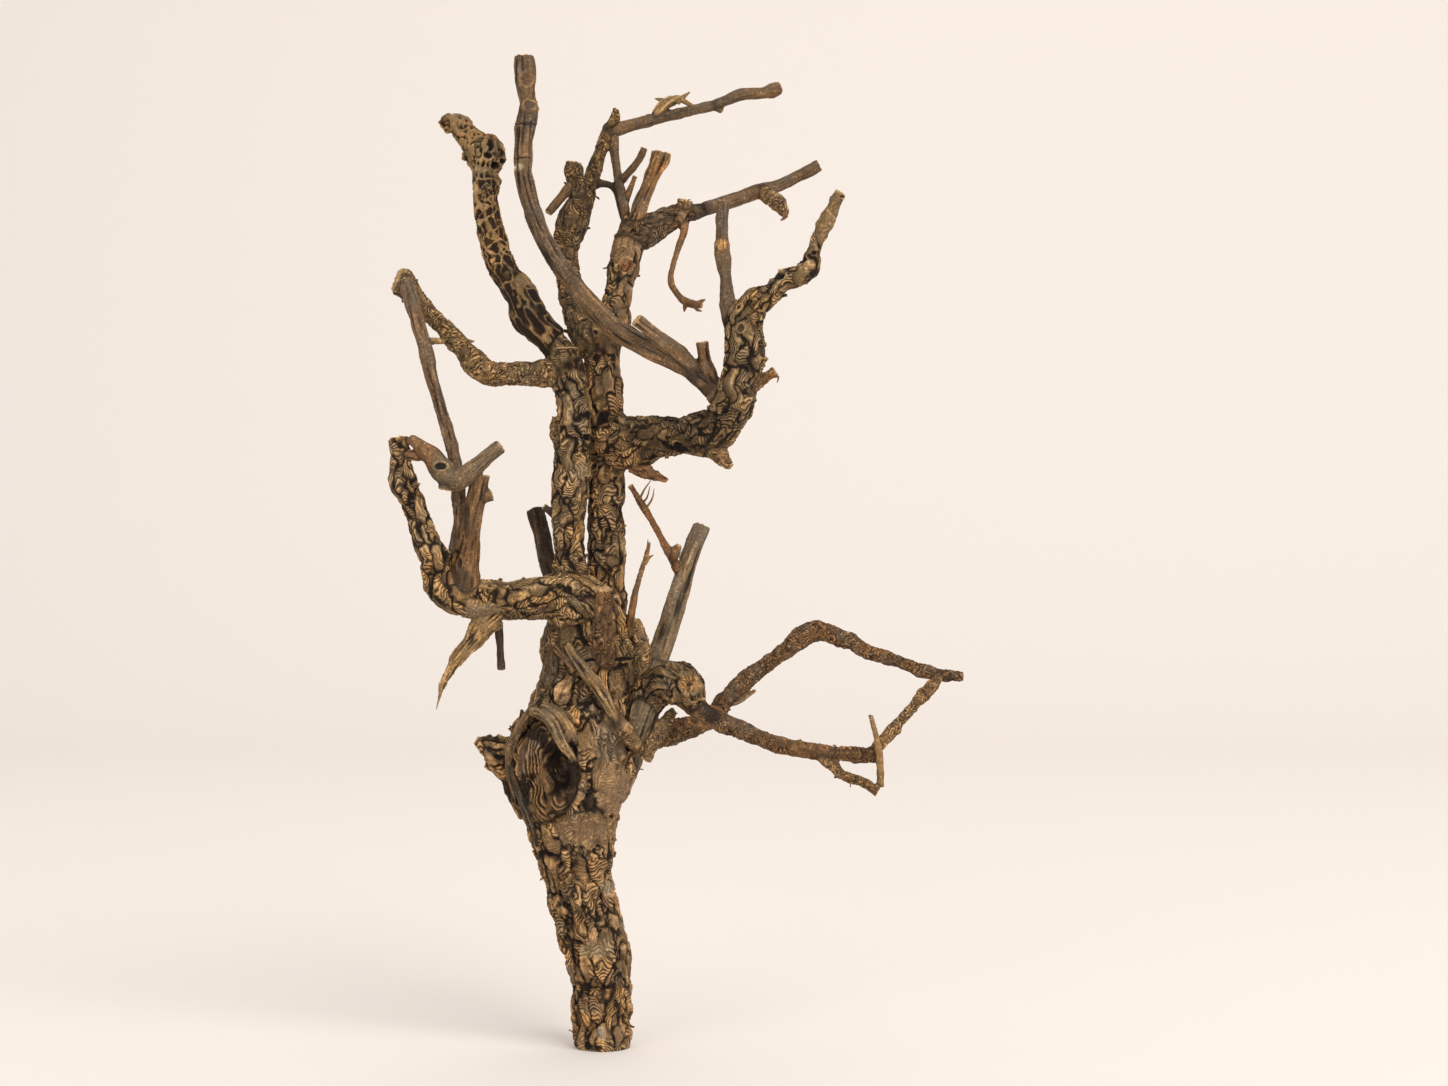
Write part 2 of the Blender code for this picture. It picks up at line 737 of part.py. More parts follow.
def join_limbs(trunk, limbs):
    """Join the collection's limbs to the trunk in one closed mesh, then remove them."""
    union = trunk.modifiers.new("join_limbs", "BOOLEAN")
    union.operation = "UNION"
    union.solver = "EXACT"
    union.operand_type = "COLLECTION"
    union.collection = limbs
    bpy.context.view_layer.update()
    evaluated = trunk.evaluated_get(bpy.context.evaluated_depsgraph_get())
    joined = bpy.data.meshes.new_from_object(evaluated)
    trunk.modifiers.remove(union)
    trunk.data = joined
    for obj in list(limbs.objects):
        bpy.data.objects.remove(obj)
    bpy.data.collections.remove(limbs)


def main():
    """Build the driftwood as one object."""
    clear_scene()
    parts = new_collection(NAME)
    limbs = new_collection("limbs")
    driftwood = limb_object(TRUNK, parts)
    driftwood.name = NAME
    for limb in LIMBS:
        limb_object(limb, limbs)
    join_limbs(driftwood, limbs)
    driftwood.data.name = NAME
    driftwood.data.materials.clear()
    driftwood.data.materials.append(wood_material())
    driftwood.data.shade_smooth()


if __name__ == "__main__":
    main()
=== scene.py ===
"""Tree-shaped driftwood in a pale studio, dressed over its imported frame.

The wood is one grown piece. Every limb is drawn as a tube along the stations of its own route, the tubes
are fused into one skin, and the skin is carved with the bark, pits, splits and grain of each limb. The skin
is then cut at a few levels into pieces that each stay a moderate size. Lengths here are in millimetres,
and the finished meshes are in metres in the frame's own place.
"""

import logging
import math
import random
from dataclasses import dataclass, field
from enum import Enum

import bmesh
import bpy
import numpy as np
from mathutils import Matrix, Vector


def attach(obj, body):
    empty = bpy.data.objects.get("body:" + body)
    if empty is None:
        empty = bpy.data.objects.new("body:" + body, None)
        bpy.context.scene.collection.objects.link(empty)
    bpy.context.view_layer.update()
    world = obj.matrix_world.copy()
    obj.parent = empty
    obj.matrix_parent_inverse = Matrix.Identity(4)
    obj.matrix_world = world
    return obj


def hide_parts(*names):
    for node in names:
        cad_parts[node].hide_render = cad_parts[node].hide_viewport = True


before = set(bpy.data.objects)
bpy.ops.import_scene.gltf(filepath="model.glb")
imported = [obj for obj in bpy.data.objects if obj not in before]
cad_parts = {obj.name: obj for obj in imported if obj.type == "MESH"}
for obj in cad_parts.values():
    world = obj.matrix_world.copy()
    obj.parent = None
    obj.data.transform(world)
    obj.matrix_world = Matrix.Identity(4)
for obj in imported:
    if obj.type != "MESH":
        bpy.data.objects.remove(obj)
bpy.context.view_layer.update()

LOG = logging.getLogger("driftwood")

MM = 0.001
NODE = "driftwood"
BODY = "root"
HEIGHT = 279.4
FOOT_RADIUS = 8.0
HEAD_RADIUS = 18.4
DEPTH_OF_TRUNK = 0.95
EYE = Vector((34.0, -700.0, 142.0))
RIM_DROP = 1.7
READ_TOP = 279.2
READ_SCALE = HEIGHT / (READ_TOP - RIM_DROP)

# How far the fused skin is pulled in and pushed out again, in turn, to take its steps out
SHRINK, SWELL = 0.55, -0.58
# How many times a height is spread to its neighbours to find what lies low, for painted shade, and what stands
# high, for painted highlight
RELIEF_SHADE_ROUNDS = 10
# The distance to a plate's edge that means there is none
NO_EDGE = 9.0
# The knot on the trunk's head: its middle, the reach of the skin that it changes, and its number of folds
KNOT_X, KNOT_Z = -16.0, 79.0
KNOT_REACH_X, KNOT_REACH_Z = 20.0, 24.0
FOLDS_IN_KNOT = 8.8
# How the edges of bark plates wander, twice: by what share of a plate's width, over what share, and the pattern
EDGE_WANDER = ((0.42, 1.15, 5), (0.2, 0.45, 15))
PLATE_SEED = 11
# Which pairs of plates have a deep crack between them, and the depth range of a crack's sloping side
DEEP_CRACKS, FURROW_SIDE = (0.15, 0.5), (0.06, 0.4)
# The lines on a plate: how far their direction turns and how much they bend from plate to plate, and their start
LINE_TURN, LINE_BEND, LINE_START = 1.35 * math.pi, 1.3, 1.1
# The furrow depth from which a surface counts as full bark
FULL_BARK = 0.3
# How far each limb's pattern is shifted from the limb before it, along and across the grain
LIMB_SHIFT = (37.0, 11.0, 23.0)
# The pitted limb's net starts between the first two heights, and its round holes between the last two
NET_FROM, HOLES_FROM = (214.0, 222.0), (245.0, 248.0)
# The thickness of a limb whose bark plates have their full size, and the least share of it
FULL_GIRTH, LEAST_GIRTH = 4.6, 0.58
# The foot's face: how high it reaches, where carving is back to its full depth, and the gap of its rings
FOOT_FLAT, FOOT_CLEAR, FOOT_RING_GAP = 0.22, 1.2, 0.9

Colour = tuple[float, float, float]
Station = tuple[float, float, float, float]


def srgb(red: float, green: float, blue: float) -> Colour:
    """Return a colour given as screen values of 0 to 255 in the linear values that a shader takes.

    Args:
        red, green, blue: The screen values.

    Returns:
        The linear red, green and blue, from 0 to 1.
    """
    def linear(value: float) -> float:
        """Return one screen value as a linear one."""
        share = value / 255
        return share / 12.92 if share <= 0.04045 else ((share + 0.055) / 1.055) ** 2.4

    return (linear(red), linear(green), linear(blue))


class Surface(Enum):
    """The kinds of surface that the wood has."""

    THICK = "thick furrowed bark"
    PLATED = "plated bark"
    RINGED = "banded thin bark"
    PITTED = "charred net and pits"
    SMOOTH = "smooth bare wood"
    TWIG = "fine twig bark"
    SPLIT = "split fibres"


@dataclass(frozen=True)
class Relief:
    """The sizes of one surface's carving, in millimetres.

    Attributes:
        plate: The width of a bark plate across the grain.
        stretch: How many times longer a plate is along the grain.
        furrow: The depth of the furrows between plates.
        step: How much plates differ in height.
        line: The height of the fine lines that follow a plate's rim.
        line_gap: The distance from one line to the next.
        lump: The height of the broad lumps.
        lump_size: Their width.
        groove: The depth of the grooves along the grain.
        groove_gap: Their width.
        patchwork: How much plates differ in colour, as a share.
    """

    plate: float
    stretch: float
    furrow: float
    step: float
    line: float
    line_gap: float
    lump: float
    lump_size: float
    groove: float
    groove_gap: float
    patchwork: float


RELIEFS: dict[Surface, Relief] = {
    Surface.THICK: Relief(3.4, 2.7, 0.65, 0.6, 0.1, 0.76, 0.75, 8.0, 0.24, 1.2, 0.26),
    Surface.PLATED: Relief(3.2, 2.2, 0.4, 0.34, 0.06, 0.62, 0.6, 6.0, 0.16, 1.0, 0.26),
    Surface.RINGED: Relief(3.3, 0.65, 0.32, 0.28, 0.05, 0.56, 0.5, 5.0, 0.12, 0.9, 0.32),
    Surface.PITTED: Relief(3.0, 1.5, 0.5, 0.2, 0.05, 0.7, 0.8, 5.0, 0.12, 1.0, 0.2),
    Surface.SMOOTH: Relief(7.0, 3.5, 0.0, 0.0, 0.0, 1.2, 0.4, 6.0, 0.42, 1.1, 0.16),
    Surface.TWIG: Relief(5.0, 1.2, 0.0, 0.0, 0.0, 1.0, 0.26, 4.0, 0.16, 0.7, 0.16),
    Surface.SPLIT: Relief(5.0, 4.0, 0.0, 0.0, 0.0, 1.0, 0.3, 5.0, 0.5, 0.8, 0.24),
}


@dataclass(frozen=True)
class Limb:
    """A limb of the wood, as the eye in front of it sees it.

    Attributes:
        name: The limb's plain name.
        surface: The kind of surface that it has.
        tone: The middle colour of its surface.
        stations: Places (x, y, z, radius) from the root to the tip, read on the plane Y = 0, with y as depth.
        end_tone: The colour of its broken or sawn end.
    """

    name: str
    surface: Surface
    tone: Colour
    stations: tuple[Station, ...]
    end_tone: Colour = srgb(176, 142, 98)


class Tone:
    """The middle colours of the wood's surfaces."""

    BARK: Colour = srgb(122, 95, 63)
    PALE_BARK: Colour = srgb(124, 98, 65)
    GREY_BROWN: Colour = srgb(100, 77, 52)
    BROWN: Colour = srgb(108, 78, 46)
    WARM: Colour = srgb(126, 91, 54)
    WARM_DARK: Colour = srgb(104, 77, 50)
    DARK: Colour = srgb(62, 45, 29)
    DARK_GREY: Colour = srgb(108, 84, 60)
    GREY: Colour = srgb(110, 90, 65)
    STRAW: Colour = srgb(140, 110, 70)
    ORANGE: Colour = srgb(118, 82, 50)
    PALE_TAN: Colour = srgb(138, 108, 70)
    # The next two tones are BARK at lower brightness: painted shade on the limbs that wear them.
    SHADOWED: Colour = srgb(88, 68, 44)
    SHADED_BARK: Colour = srgb(102, 79, 51)


LIMBS: tuple[Limb, ...] = (
    Limb("trunk", Surface.THICK, Tone.BARK, (
        (-0.3, 0, RIM_DROP, FOOT_RADIUS - 0.2), (-0.3, 0, 5, FOOT_RADIUS), (-0.6, 0, 10, FOOT_RADIUS + 0.1),
        (-1.3, 0, 19, 8.6), (-1.6, 0, 26, 9.5), (-4.2, 0, 37, 9.3), (-6.1, 0, 44, 9.7), (-6.8, 0, 50, 10.1),
        (-8.2, 0, 58, 11.5), (-8.8, 0, 65, 13.0), (-9.4, 0, 72, 16.6), (-9.2, 0, 78, HEAD_RADIUS),
        (-8.2, 0, 85, HEAD_RADIUS), (-6.6, 0, 91, 16.7), (-5.4, 0, 98, 14.3), (-3.8, 0, 105, 12.7),
        (-4.8, 0, 113, 12.8), (-4.6, 0, 121, 11.2), (-4.4, 0, 130, 7.5),
    )),
    # The two trunks that rise side by side from the head
    Limb("left_trunk", Surface.PLATED, Tone.PALE_BARK, (
        (-7.0, -3, 116, 6.0), (-8.4, -4, 129, 5.9), (-9.7, -4, 140, 4.3), (-9.8, -4, 149, 4.6),
        (-9.0, -4, 160, 4.9), (-8.4, -4, 171, 5.0), (-8.8, -4, 184, 4.7), (-10.6, -4, 191, 5.1),
        (-11.4, -4, 197, 4.6),
    )),
    Limb("right_trunk", Surface.PLATED, Tone.BARK, (
        (-1.0, 4, 115, 7.0), (0.6, 4, 129, 5.8), (0.8, 4, 140, 5.2), (0.6, 4, 149, 5.1), (0.8, 4, 160, 5.3),
        (0.8, 4, 171, 5.5), (0.3, 4.5, 183, 5.4), (-0.2, 5, 195, 5.1), (0.6, 5, 202, 4.6),
    )),
    # The crown above the right trunk, which leans back
    Limb("crown", Surface.PLATED, Tone.BARK, (
        (-0.2, 5, 197, 4.9), (3.0, 5.5, 204, 4.5), (3.8, 7.5, 211, 3.9), (5.6, 10, 219, 4.2),
        (7.0, 12.5, 226.5, 4.4), (8.4, 14.5, 232.5, 3.4),
    )),
    Limb("crown_stub", Surface.SMOOTH, Tone.WARM, (
        (7.0, 13, 228, 2.8), (9.0, 12.5, 233, 2.3), (10.9, 12, 239, 2.0), (13.7, 11.5, 245.6, 2.0),
        (15.6, 11, 250, 2.5), (16.1, 11, 252, 2.8),
    )),
    Limb("crown_arm", Surface.PLATED, Tone.GREY_BROWN, (
        (7.6, 13.5, 228.6, 5.2), (14.0, 16, 231.2, 4.5), (19.8, 18, 234.0, 3.4), (24.4, 19, 235, 2.5),
        (28.6, 20, 236.3, 1.9), (32.0, 20.9, 237.3, 1.2),
    )),
    Limb("crown_arm_outer", Surface.TWIG, Tone.GREY_BROWN, (
        (24.4, 19, 235, 1.9), (28.6, 20, 236.3, 2.0), (36.1, 22, 238.6, 2.1), (44.2, 24, 241.4, 2.0),
        (49.6, 26, 243, 1.8), (54.9, 27.5, 245.6, 1.7), (60.2, 29, 248.4, 1.8),
    )),
    Limb("crown_arm_bud", Surface.PLATED, Tone.BARK, (
        (21.8, 18.5, 234, 2.2), (22.9, 17.5, 238.8, 2.2),
    )),
    Limb("crown_claw", Surface.RINGED, Tone.BARK, (
        (44.5, 24, 241.0, 2.2), (48.6, 21, 238.2, 2.2), (51.0, 20, 234.4, 1.1),
    )),
    Limb("curly_twig", Surface.TWIG, Tone.WARM, (
        (22.7, 18.5, 233.5, 1.5), (22.4, 16.5, 229.5, 1.1), (21.3, 15, 226.5, 0.9), (19.6, 13.5, 221, 0.85),
        (18.8, 12, 216, 0.85), (21.0, 10.5, 212, 0.9), (23.6, 9, 210, 1.2), (27.7, 8, 209.2, 0.9),
    )),
    # The knobbly limb at the back, with its twigs
    Limb("back_limb", Surface.PLATED, Tone.SHADED_BARK, (
        (-2.5, 5, 197, 4.6), (-5.6, 8, 203, 4.9), (-7.8, 12, 209, 3.7), (-9.6, 15.5, 216, 3.5),
        (-10.5, 18.5, 224, 3.2), (-9.3, 21, 230.7, 4.3), (-6.5, 23, 237.7, 3.7), (-3.7, 24.5, 243.6, 2.5),
        (-1.4, 26, 250, 2.0), (0.8, 27, 256.5, 2.0), (2.6, 27.5, 260, 1.6), (3.4, 28, 264.3, 1.0),
    )),
    Limb("back_arm", Surface.TWIG, Tone.GREY_BROWN, (
        (1.5, 27, 257.5, 1.8), (6.0, 28, 259.2, 1.7), (13.7, 29.5, 261.2, 1.6), (22.1, 31, 263.2, 1.5),
        (30.8, 32.5, 265.2, 1.5), (38.4, 34, 268.2, 1.7), (44.8, 35, 268.8, 1.6), (47.2, 35.5, 269.4, 2.3),
        (49.4, 36, 270.2, 1.9),
    )),
    Limb("back_knob", Surface.PLATED, Tone.SHADED_BARK, (
        (-5.8, 22.5, 236, 2.8), (-7.6, 21.5, 243, 2.4), (-8.4, 21, 247.5, 2.7), (-8.1, 21, 249.3, 2.2),
    )),
    Limb("back_knob_twig", Surface.TWIG, Tone.BROWN, (
        (-7.6, 21.5, 244.5, 1.5), (-10.0, 20, 241.8, 1.25), (-15.4, 18, 235, 1.15),
    )),
    Limb("inner_twig", Surface.TWIG, Tone.GREY_BROWN, (
        (2.6, 27.5, 258, 1.5), (3.4, 25.5, 251, 1.2), (4.2, 23, 244.4, 1.25), (5.6, 19.5, 239, 1.25),
        (6.8, 15, 231, 1.3),
    )),
    Limb("inner_side_twig", Surface.TWIG, Tone.GREY_BROWN, (
        (4.4, 23, 243.5, 1.1), (9.2, 21, 249, 1.1), (11.6, 20.5, 253.4, 0.9),
    )),
    # The pitted limb that rises to the left from the left trunk's broken top and leans back
    Limb("pitted_limb", Surface.PITTED, Tone.PALE_TAN, (
        (-10.0, -4, 192, 4.8), (-14.2, -3.5, 199, 3.9), (-20.2, -2, 205.8, 4.7), (-24.2, 0.5, 213.4, 4.2),
        (-29.2, 3.5, 221.8, 3.9), (-31.6, 6.5, 229.9, 3.8), (-32.6, 9, 237.7, 3.9), (-33.4, 11, 245.8, 4.1),
        (-33.3, 12.5, 250.8, 6.2), (-36.4, 13.5, 255.0, 4.3), (-39.8, 14.5, 258.8, 3.3),
        (-42.8, 15, 260.0, 2.7), (-45.0, 15.5, 258.8, 2.0),
    )),
    # The elbowed limb on the left, and the long stick that leans on its knob
    Limb("left_elbow", Surface.RINGED, Tone.PALE_BARK, (
        (-9.5, -4, 190.6, 4.2), (-16.2, -5, 190.2, 4.3), (-24.4, -7, 189.9, 3.4), (-31.4, -8.5, 190.0, 3.7),
        (-34.6, -9.5, 191.8, 3.6), (-39.0, -10, 196.4, 3.0), (-44.6, -11, 202.9, 2.8), (-48.8, -12, 207.2, 2.6),
        (-53.3, -13, 212.2, 3.0), (-56.4, -13.5, 215.7, 4.3), (-58.2, -14, 216.4, 3.2),
    )),
    Limb("leaning_stick", Surface.SMOOTH, Tone.DARK_GREY, (
        (-40.2, -14, 132, 2.4), (-41.0, -13, 142, 1.9), (-40.6, -13.5, 150, 1.85), (-40.4, -14.5, 157, 1.85),
        (-41.8, -15.5, 166.5, 1.8), (-44.8, -16.5, 177.8, 1.85), (-47.3, -17.5, 186.8, 1.9),
        (-49.6, -18, 196, 1.9), (-52.4, -18.2, 205.8, 2.0), (-54.4, -18, 213.5, 2.0),
        (-55.0, -17.5, 216.5, 2.0),
    )),
    # The lower left limb with its burl, its three forks and its broken spike
    Limb("left_limb", Surface.PLATED, Tone.PALE_BARK, (
        (-3.0, -2, 123.5, 8.0), (-9.0, -5.5, 126.3, 9.0), (-15.0, -7.5, 127.4, 6.6), (-21.0, -9.5, 127.2, 5.8),
        (-27.7, -11.5, 126.6, 5.3), (-35.3, -13.5, 126.8, 5.4), (-41.0, -15, 127.8, 5.1),
        (-45.0, -16, 129.8, 4.9), (-46.4, -16.5, 134.6, 4.3), (-47.5, -17, 139.4, 4.0),
        (-50.5, -17.5, 144.8, 3.8), (-52.1, -18, 150.1, 3.4), (-54.3, -18, 155.5, 3.2),
        (-56.0, -18, 159.9, 4.2), (-56.5, -18, 163.5, 3.0), (-56.7, -18, 167, 2.5), (-57.1, -18, 172.4, 2.7),
    )),
    Limb("grey_fork", Surface.TWIG, Tone.GREY, (
        (-54.4, -20, 172, 1.3), (-51.5, -20.5, 170, 2.0), (-48.0, -20.5, 166.8, 2.9),
        (-44.5, -20.5, 162.4, 3.3), (-41.2, -20.5, 160.2, 3.3), (-36.8, -20.8, 163.2, 2.5),
        (-32.5, -21, 166.8, 2.2), (-28.6, -21, 169.8, 1.9),
    )),
    Limb("grey_fork_heel", Surface.TWIG, Tone.GREY, (
        (-43.0, -20.5, 161.5, 2.8), (-43.8, -20.5, 157.6, 2.5),
    )),
    Limb("grey_fork_link", Surface.SPLIT, Tone.ORANGE, (
        (-56.2, -18.5, 167.6, 1.6), (-52.5, -19.5, 167.3, 1.4), (-49.0, -20.5, 167.2, 1.6),
    )),
    Limb("middle_fork", Surface.SMOOTH, Tone.BROWN, (
        (-39.0, -15, 128, 4.4), (-38.8, -16, 134.1, 4.0), (-38.0, -17, 139.4, 3.3), (-37.0, -18, 147, 2.7),
        (-35.7, -18.5, 154, 2.6), (-34.0, -18.5, 161.8, 2.4),
    )),
    Limb("middle_fork_bud", Surface.TWIG, Tone.BROWN, (
        (-34.2, -18.5, 155.4, 1.9), (-31.2, -18.5, 156.4, 1.6),
    )),
    Limb("broken_spike", Surface.SPLIT, Tone.STRAW, (
        (-30.5, -12.5, 122.5, 3.8), (-34.0, -14, 119.4, 3.5), (-36.8, -16, 115.0, 2.4),
        (-41.5, -18.5, 109.5, 1.6), (-44.6, -20, 103.6, 0.9), (-46.1, -21, 99, 0.4),
    )),
    Limb("down_twig", Surface.TWIG, Tone.DARK, (
        (-30.0, -10, 123, 1.4), (-29.3, -10, 117.6, 1.2), (-28.6, -10, 107.2, 1.05),
    )),
    # The right cup limb, which comes forward, and what grows on it
    Limb("right_limb", Surface.PLATED, Tone.PALE_BARK, (
        (0.8, 3.5, 170.6, 7.0), (9.0, -1, 170.6, 7.4), (15.0, -5, 172.4, 5.8), (21.6, -10, 172.6, 5.2),
        (28.8, -15, 173.4, 6.6), (32.8, -18, 174.6, 5.4), (35.3, -20, 178.8, 5.8), (36.7, -21, 183, 5.8),
        (38.4, -22, 189.6, 5.5), (39.9, -23, 196.6, 5.8), (39.4, -23, 203.6, 5.7), (41.6, -23.5, 208.9, 4.5),
        (46.0, -26, 212.1, 3.3), (51.2, -29, 216.2, 2.8), (57.0, -32, 219.6, 3.4), (59.1, -33.5, 224.6, 2.5),
        (61.4, -35, 230.7, 2.2), (64.3, -36.5, 236.6, 1.9), (66.4, -38, 241, 1.7),
    )),
    Limb("right_limb_spur", Surface.RINGED, Tone.WARM, (
        (40.5, -23, 186.5, 2.6), (44.8, -24, 188.6, 1.8), (48.2, -25, 190.4, 1.2),
    )),
    Limb("right_limb_heel", Surface.RINGED, Tone.BARK, (
        (30.6, -17, 170.6, 3.6), (33.2, -18.5, 166.8, 2.4), (35.8, -19.5, 164, 1.1),
    )),
    Limb("right_limb_splinter", Surface.SPLIT, Tone.ORANGE, (
        (9.0, -2, 165, 3.0), (13.0, -4, 162.2, 1.7), (18.0, -6, 160.4, 0.6),
    )),
    Limb("right_limb_shoot", Surface.TWIG, Tone.GREY_BROWN, (
        (37.4, -22.5, 202.5, 3.4), (35.2, -20.5, 208.5, 2.7), (34.6, -18, 213, 1.9), (34.2, -16, 217, 1.8),
        (33.3, -13, 223.6, 2.4), (33.3, -11.5, 228, 1.9), (33.3, -8, 238.2, 1.7),
    )),
    # The smooth limb that sweeps across the front and then leans back to the top
    Limb("sweeping_limb", Surface.SMOOTH, Tone.GREY_BROWN, (
        (34.6, -20, 181.4, 3.6), (31.4, -19.5, 185.5, 3.3), (26.9, -20, 189.3, 3.0), (21.8, -21, 193, 2.8),
        (14.8, -21.5, 196.5, 3.2), (8.4, -21.5, 199.6, 2.9), (2.0, -20.5, 204, 2.9), (-3.7, -19, 209.5, 2.7),
        (-8.9, -17, 215.9, 2.6), (-13.3, -14.5, 221.9, 2.5), (-17.2, -12, 228.6, 2.5),
        (-19.7, -9.5, 235.2, 2.4), (-21.8, -6.5, 243.3, 2.4), (-22.5, -4.5, 249.2, 2.4),
        (-22.1, -2, 256.5, 2.3), (-21.3, -0.5, 263.5, 2.7), (-21.6, 0, 267.4, 2.4), (-22.1, 0, 272.7, 2.8),
        (-22.4, 0, READ_TOP, 2.5),
    )),
    Limb("sweeping_limb_fork", Surface.SMOOTH, Tone.GREY_BROWN, (
        (26.0, -20.4, 190, 2.7), (21.4, -23, 195.4, 2.2), (15.0, -26, 200.4, 2.0), (9.0, -28.5, 205, 1.9),
    )),
    Limb("sweeping_limb_stub", Surface.SMOOTH, Tone.BROWN, (
        (30.0, -19.5, 186.5, 3.2), (28.8, -20.5, 191, 2.6), (28.2, -21.5, 194.5, 2.0), (27.7, -22, 199, 1.75),
    )),
    # The stubs and sticks round the trunks
    Limb("dark_stub", Surface.SMOOTH, Tone.DARK, (
        (-11.0, 1, 126, 2.6), (-15.0, 4.5, 136, 2.4), (-18.9, 8, 152.3, 2.3),
    )),
    Limb("small_stub", Surface.TWIG, Tone.DARK, (
        (-11.0, -3.5, 148.5, 1.4), (-16.8, -5, 153, 1.1),
    )),
    Limb("front_stub", Surface.PLATED, Tone.WARM_DARK, (
        (-0.6, -6, 107, 4.8), (-0.3, -11.5, 114, 3.4), (0.0, -15.5, 122, 2.8), (0.3, -19, 130, 1.9),
    )),
    Limb("split_stick", Surface.SPLIT, Tone.STRAW, (
        (-9.8, -11.5, 114.2, 1.6), (-6.0, -12.5, 108, 1.8), (-0.8, -13, 101, 1.9), (2.2, -13, 95.5, 1.7),
        (4.6, -12.2, 91.5, 1.3),
    )),
    Limb("stick_ridge", Surface.PLATED, Tone.BARK, (
        (0.5, -11.6, 98, 1.6), (4.0, -11.6, 92.5, 2.4), (7.5, -10.6, 88.5, 2.2), (10.5, -8.4, 84, 1.6),
    )),
    Limb("flank_stem", Surface.PLATED, Tone.BARK, (
        (12.2, -0.5, 97, 2.6), (10.8, -1, 106.5, 2.9), (10.6, -1.5, 114.5, 2.3), (8.2, -1.5, 121, 2.0),
    )),
    Limb("thin_twig", Surface.TWIG, Tone.WARM, (
        (7.2, -2, 117, 1.3), (8.4, -3, 126.3, 0.9), (9.8, -4.5, 132.2, 0.8), (11.8, -6, 138.6, 0.7),
        (12.9, -7, 142.8, 0.4),
    )),
    # The right side of the head: the grey stub, the round knob and the two arms that meet in a loop
    Limb("grey_stub", Surface.SMOOTH, Tone.GREY, (
        (1.0, 0, 76, 7.4), (5.4, 0, 85.5, 6.4), (9.4, 0, 92, 5.5), (11.2, 0.5, 97, 4.7), (12.9, 1, 103, 3.9),
        (15.2, 2, 110, 3.3), (17.6, 3.5, 117.6, 2.9), (20.6, 6, 127.7, 2.7), (23.8, 8.5, 137.8, 2.5),
        (27.6, 11, 147.6, 2.2),
    )),
    Limb("brown_twig", Surface.TWIG, Tone.ORANGE, (
        (21.8, 7.0, 132.5, 1.3), (19.8, 6, 137.5, 1.2), (13.8, 2, 148.5, 1.0), (7.5, -1.5, 158.8, 0.8),
    )),
    Limb("round_knob", Surface.PLATED, Tone.SHADED_BARK, (
        (10.0, -2.5, 96, 5.4), (15.6, -5.5, 102.4, 5.6), (20.5, -8, 103.5, 6.3), (24.2, -10, 101.6, 4.9),
        (25.8, -11, 98, 3.4),
    )),
    Limb("front_arm", Surface.RINGED, Tone.WARM_DARK, (
        (22.8, -9, 100, 3.8), (27.9, -11.5, 95.4, 2.8), (32.0, -12.5, 93, 2.6), (37.2, -13.5, 91, 2.5),
        (46.8, -15, 87.2, 2.4), (56.8, -15, 84.7, 2.4), (66.9, -14, 83.6, 2.0), (76.7, -13, 83.4, 2.1),
    )),
    Limb("front_arm_link", Surface.RINGED, Tone.BARK, (
        (74.6, -13, 83.5, 1.7), (77.5, -11.5, 86.5, 1.7), (82.9, -8, 92.3, 1.7), (87.8, -4, 98.4, 1.7),
        (92.4, 0.5, 103, 1.6), (94.1, 3.3, 106, 1.5),
    )),
    Limb("front_arm_twig", Surface.RINGED, Tone.BARK, (
        (59.4, -15, 84.4, 1.7), (66.9, -16, 77.8, 1.5), (72.5, -16.5, 75.8, 1.5), (76.8, -16.5, 73.2, 1.8),
    )),
    Limb("pale_twig", Surface.TWIG, Tone.STRAW, (
        (74.8, -14.5, 94.6, 0.6), (76.4, -14.8, 88.5, 0.9), (77.4, -15.0, 82, 1.0), (77.6, -16, 74.5, 1.0),
    )),
    Limb("rear_arm", Surface.RINGED, Tone.WARM_DARK, (
        (4.0, 1, 84.5, 5.6), (13.0, 3.5, 88.8, 4.5), (19.3, 6, 90.0, 3.7), (25.0, 8, 91.4, 3.2),
        (29.8, 10, 93.6, 2.8), (33.8, 11, 98.4, 2.5), (39.8, 12, 104.2, 2.6), (46.8, 12, 109.6, 2.4),
        (52.6, 12, 113.9, 2.6), (57.6, 11.5, 117.8, 3.2), (60.8, 11, 118.3, 2.8), (64.4, 10, 117.0, 2.6),
        (69.7, 9, 114.6, 2.4), (73.9, 8, 112.3, 2.1), (80.6, 6.5, 110.1, 1.8), (87.4, 5, 107.9, 1.8),
        (94.1, 3.5, 105.8, 1.8), (100.8, 3, 105.6, 1.1),
    )),
    # The broken spur and the loose bark on the head
    Limb("head_spur", Surface.THICK, Tone.BARK, (
        (-18.0, -2, 81, 8.5), (-25.0, -3, 82.4, 7.4), (-29.4, -3.5, 84.0, 5.5), (-33.0, -4, 86.2, 3.0),
        (-35.8, -4, 87.4, 1.2),
    )),
    Limb("bark_flap", Surface.SPLIT, Tone.PALE_BARK, (
        (-19.5, -11.6, 95.4, 1.4), (-17.0, -14.6, 94.8, 1.7), (-13.6, -17.0, 91.4, 1.9),
        (-11.4, -18.4, 86.8, 1.6), (-8.6, -18.0, 82.6, 1.2), (-5.4, -16.2, 79.6, 0.8),
    )),
    Limb("bark_flap_side", Surface.SPLIT, Tone.BARK, (
        (-17.0, -13.0, 96.8, 1.2), (-12.6, -15.4, 95.0, 1.7), (-9.6, -16.6, 90.6, 1.9),
        (-7.6, -16.8, 86.0, 1.5), (-6.2, -15.4, 81.6, 1.0),
    )),
    Limb("long_bark_strip", Surface.SPLIT, Tone.DARK, (
        (-26.4, -4, 79, 2.3), (-25.2, -5, 72, 1.8), (-22.6, -5, 65.5, 0.8),
    )),
    Limb("short_bark_strip", Surface.SPLIT, Tone.DARK, (
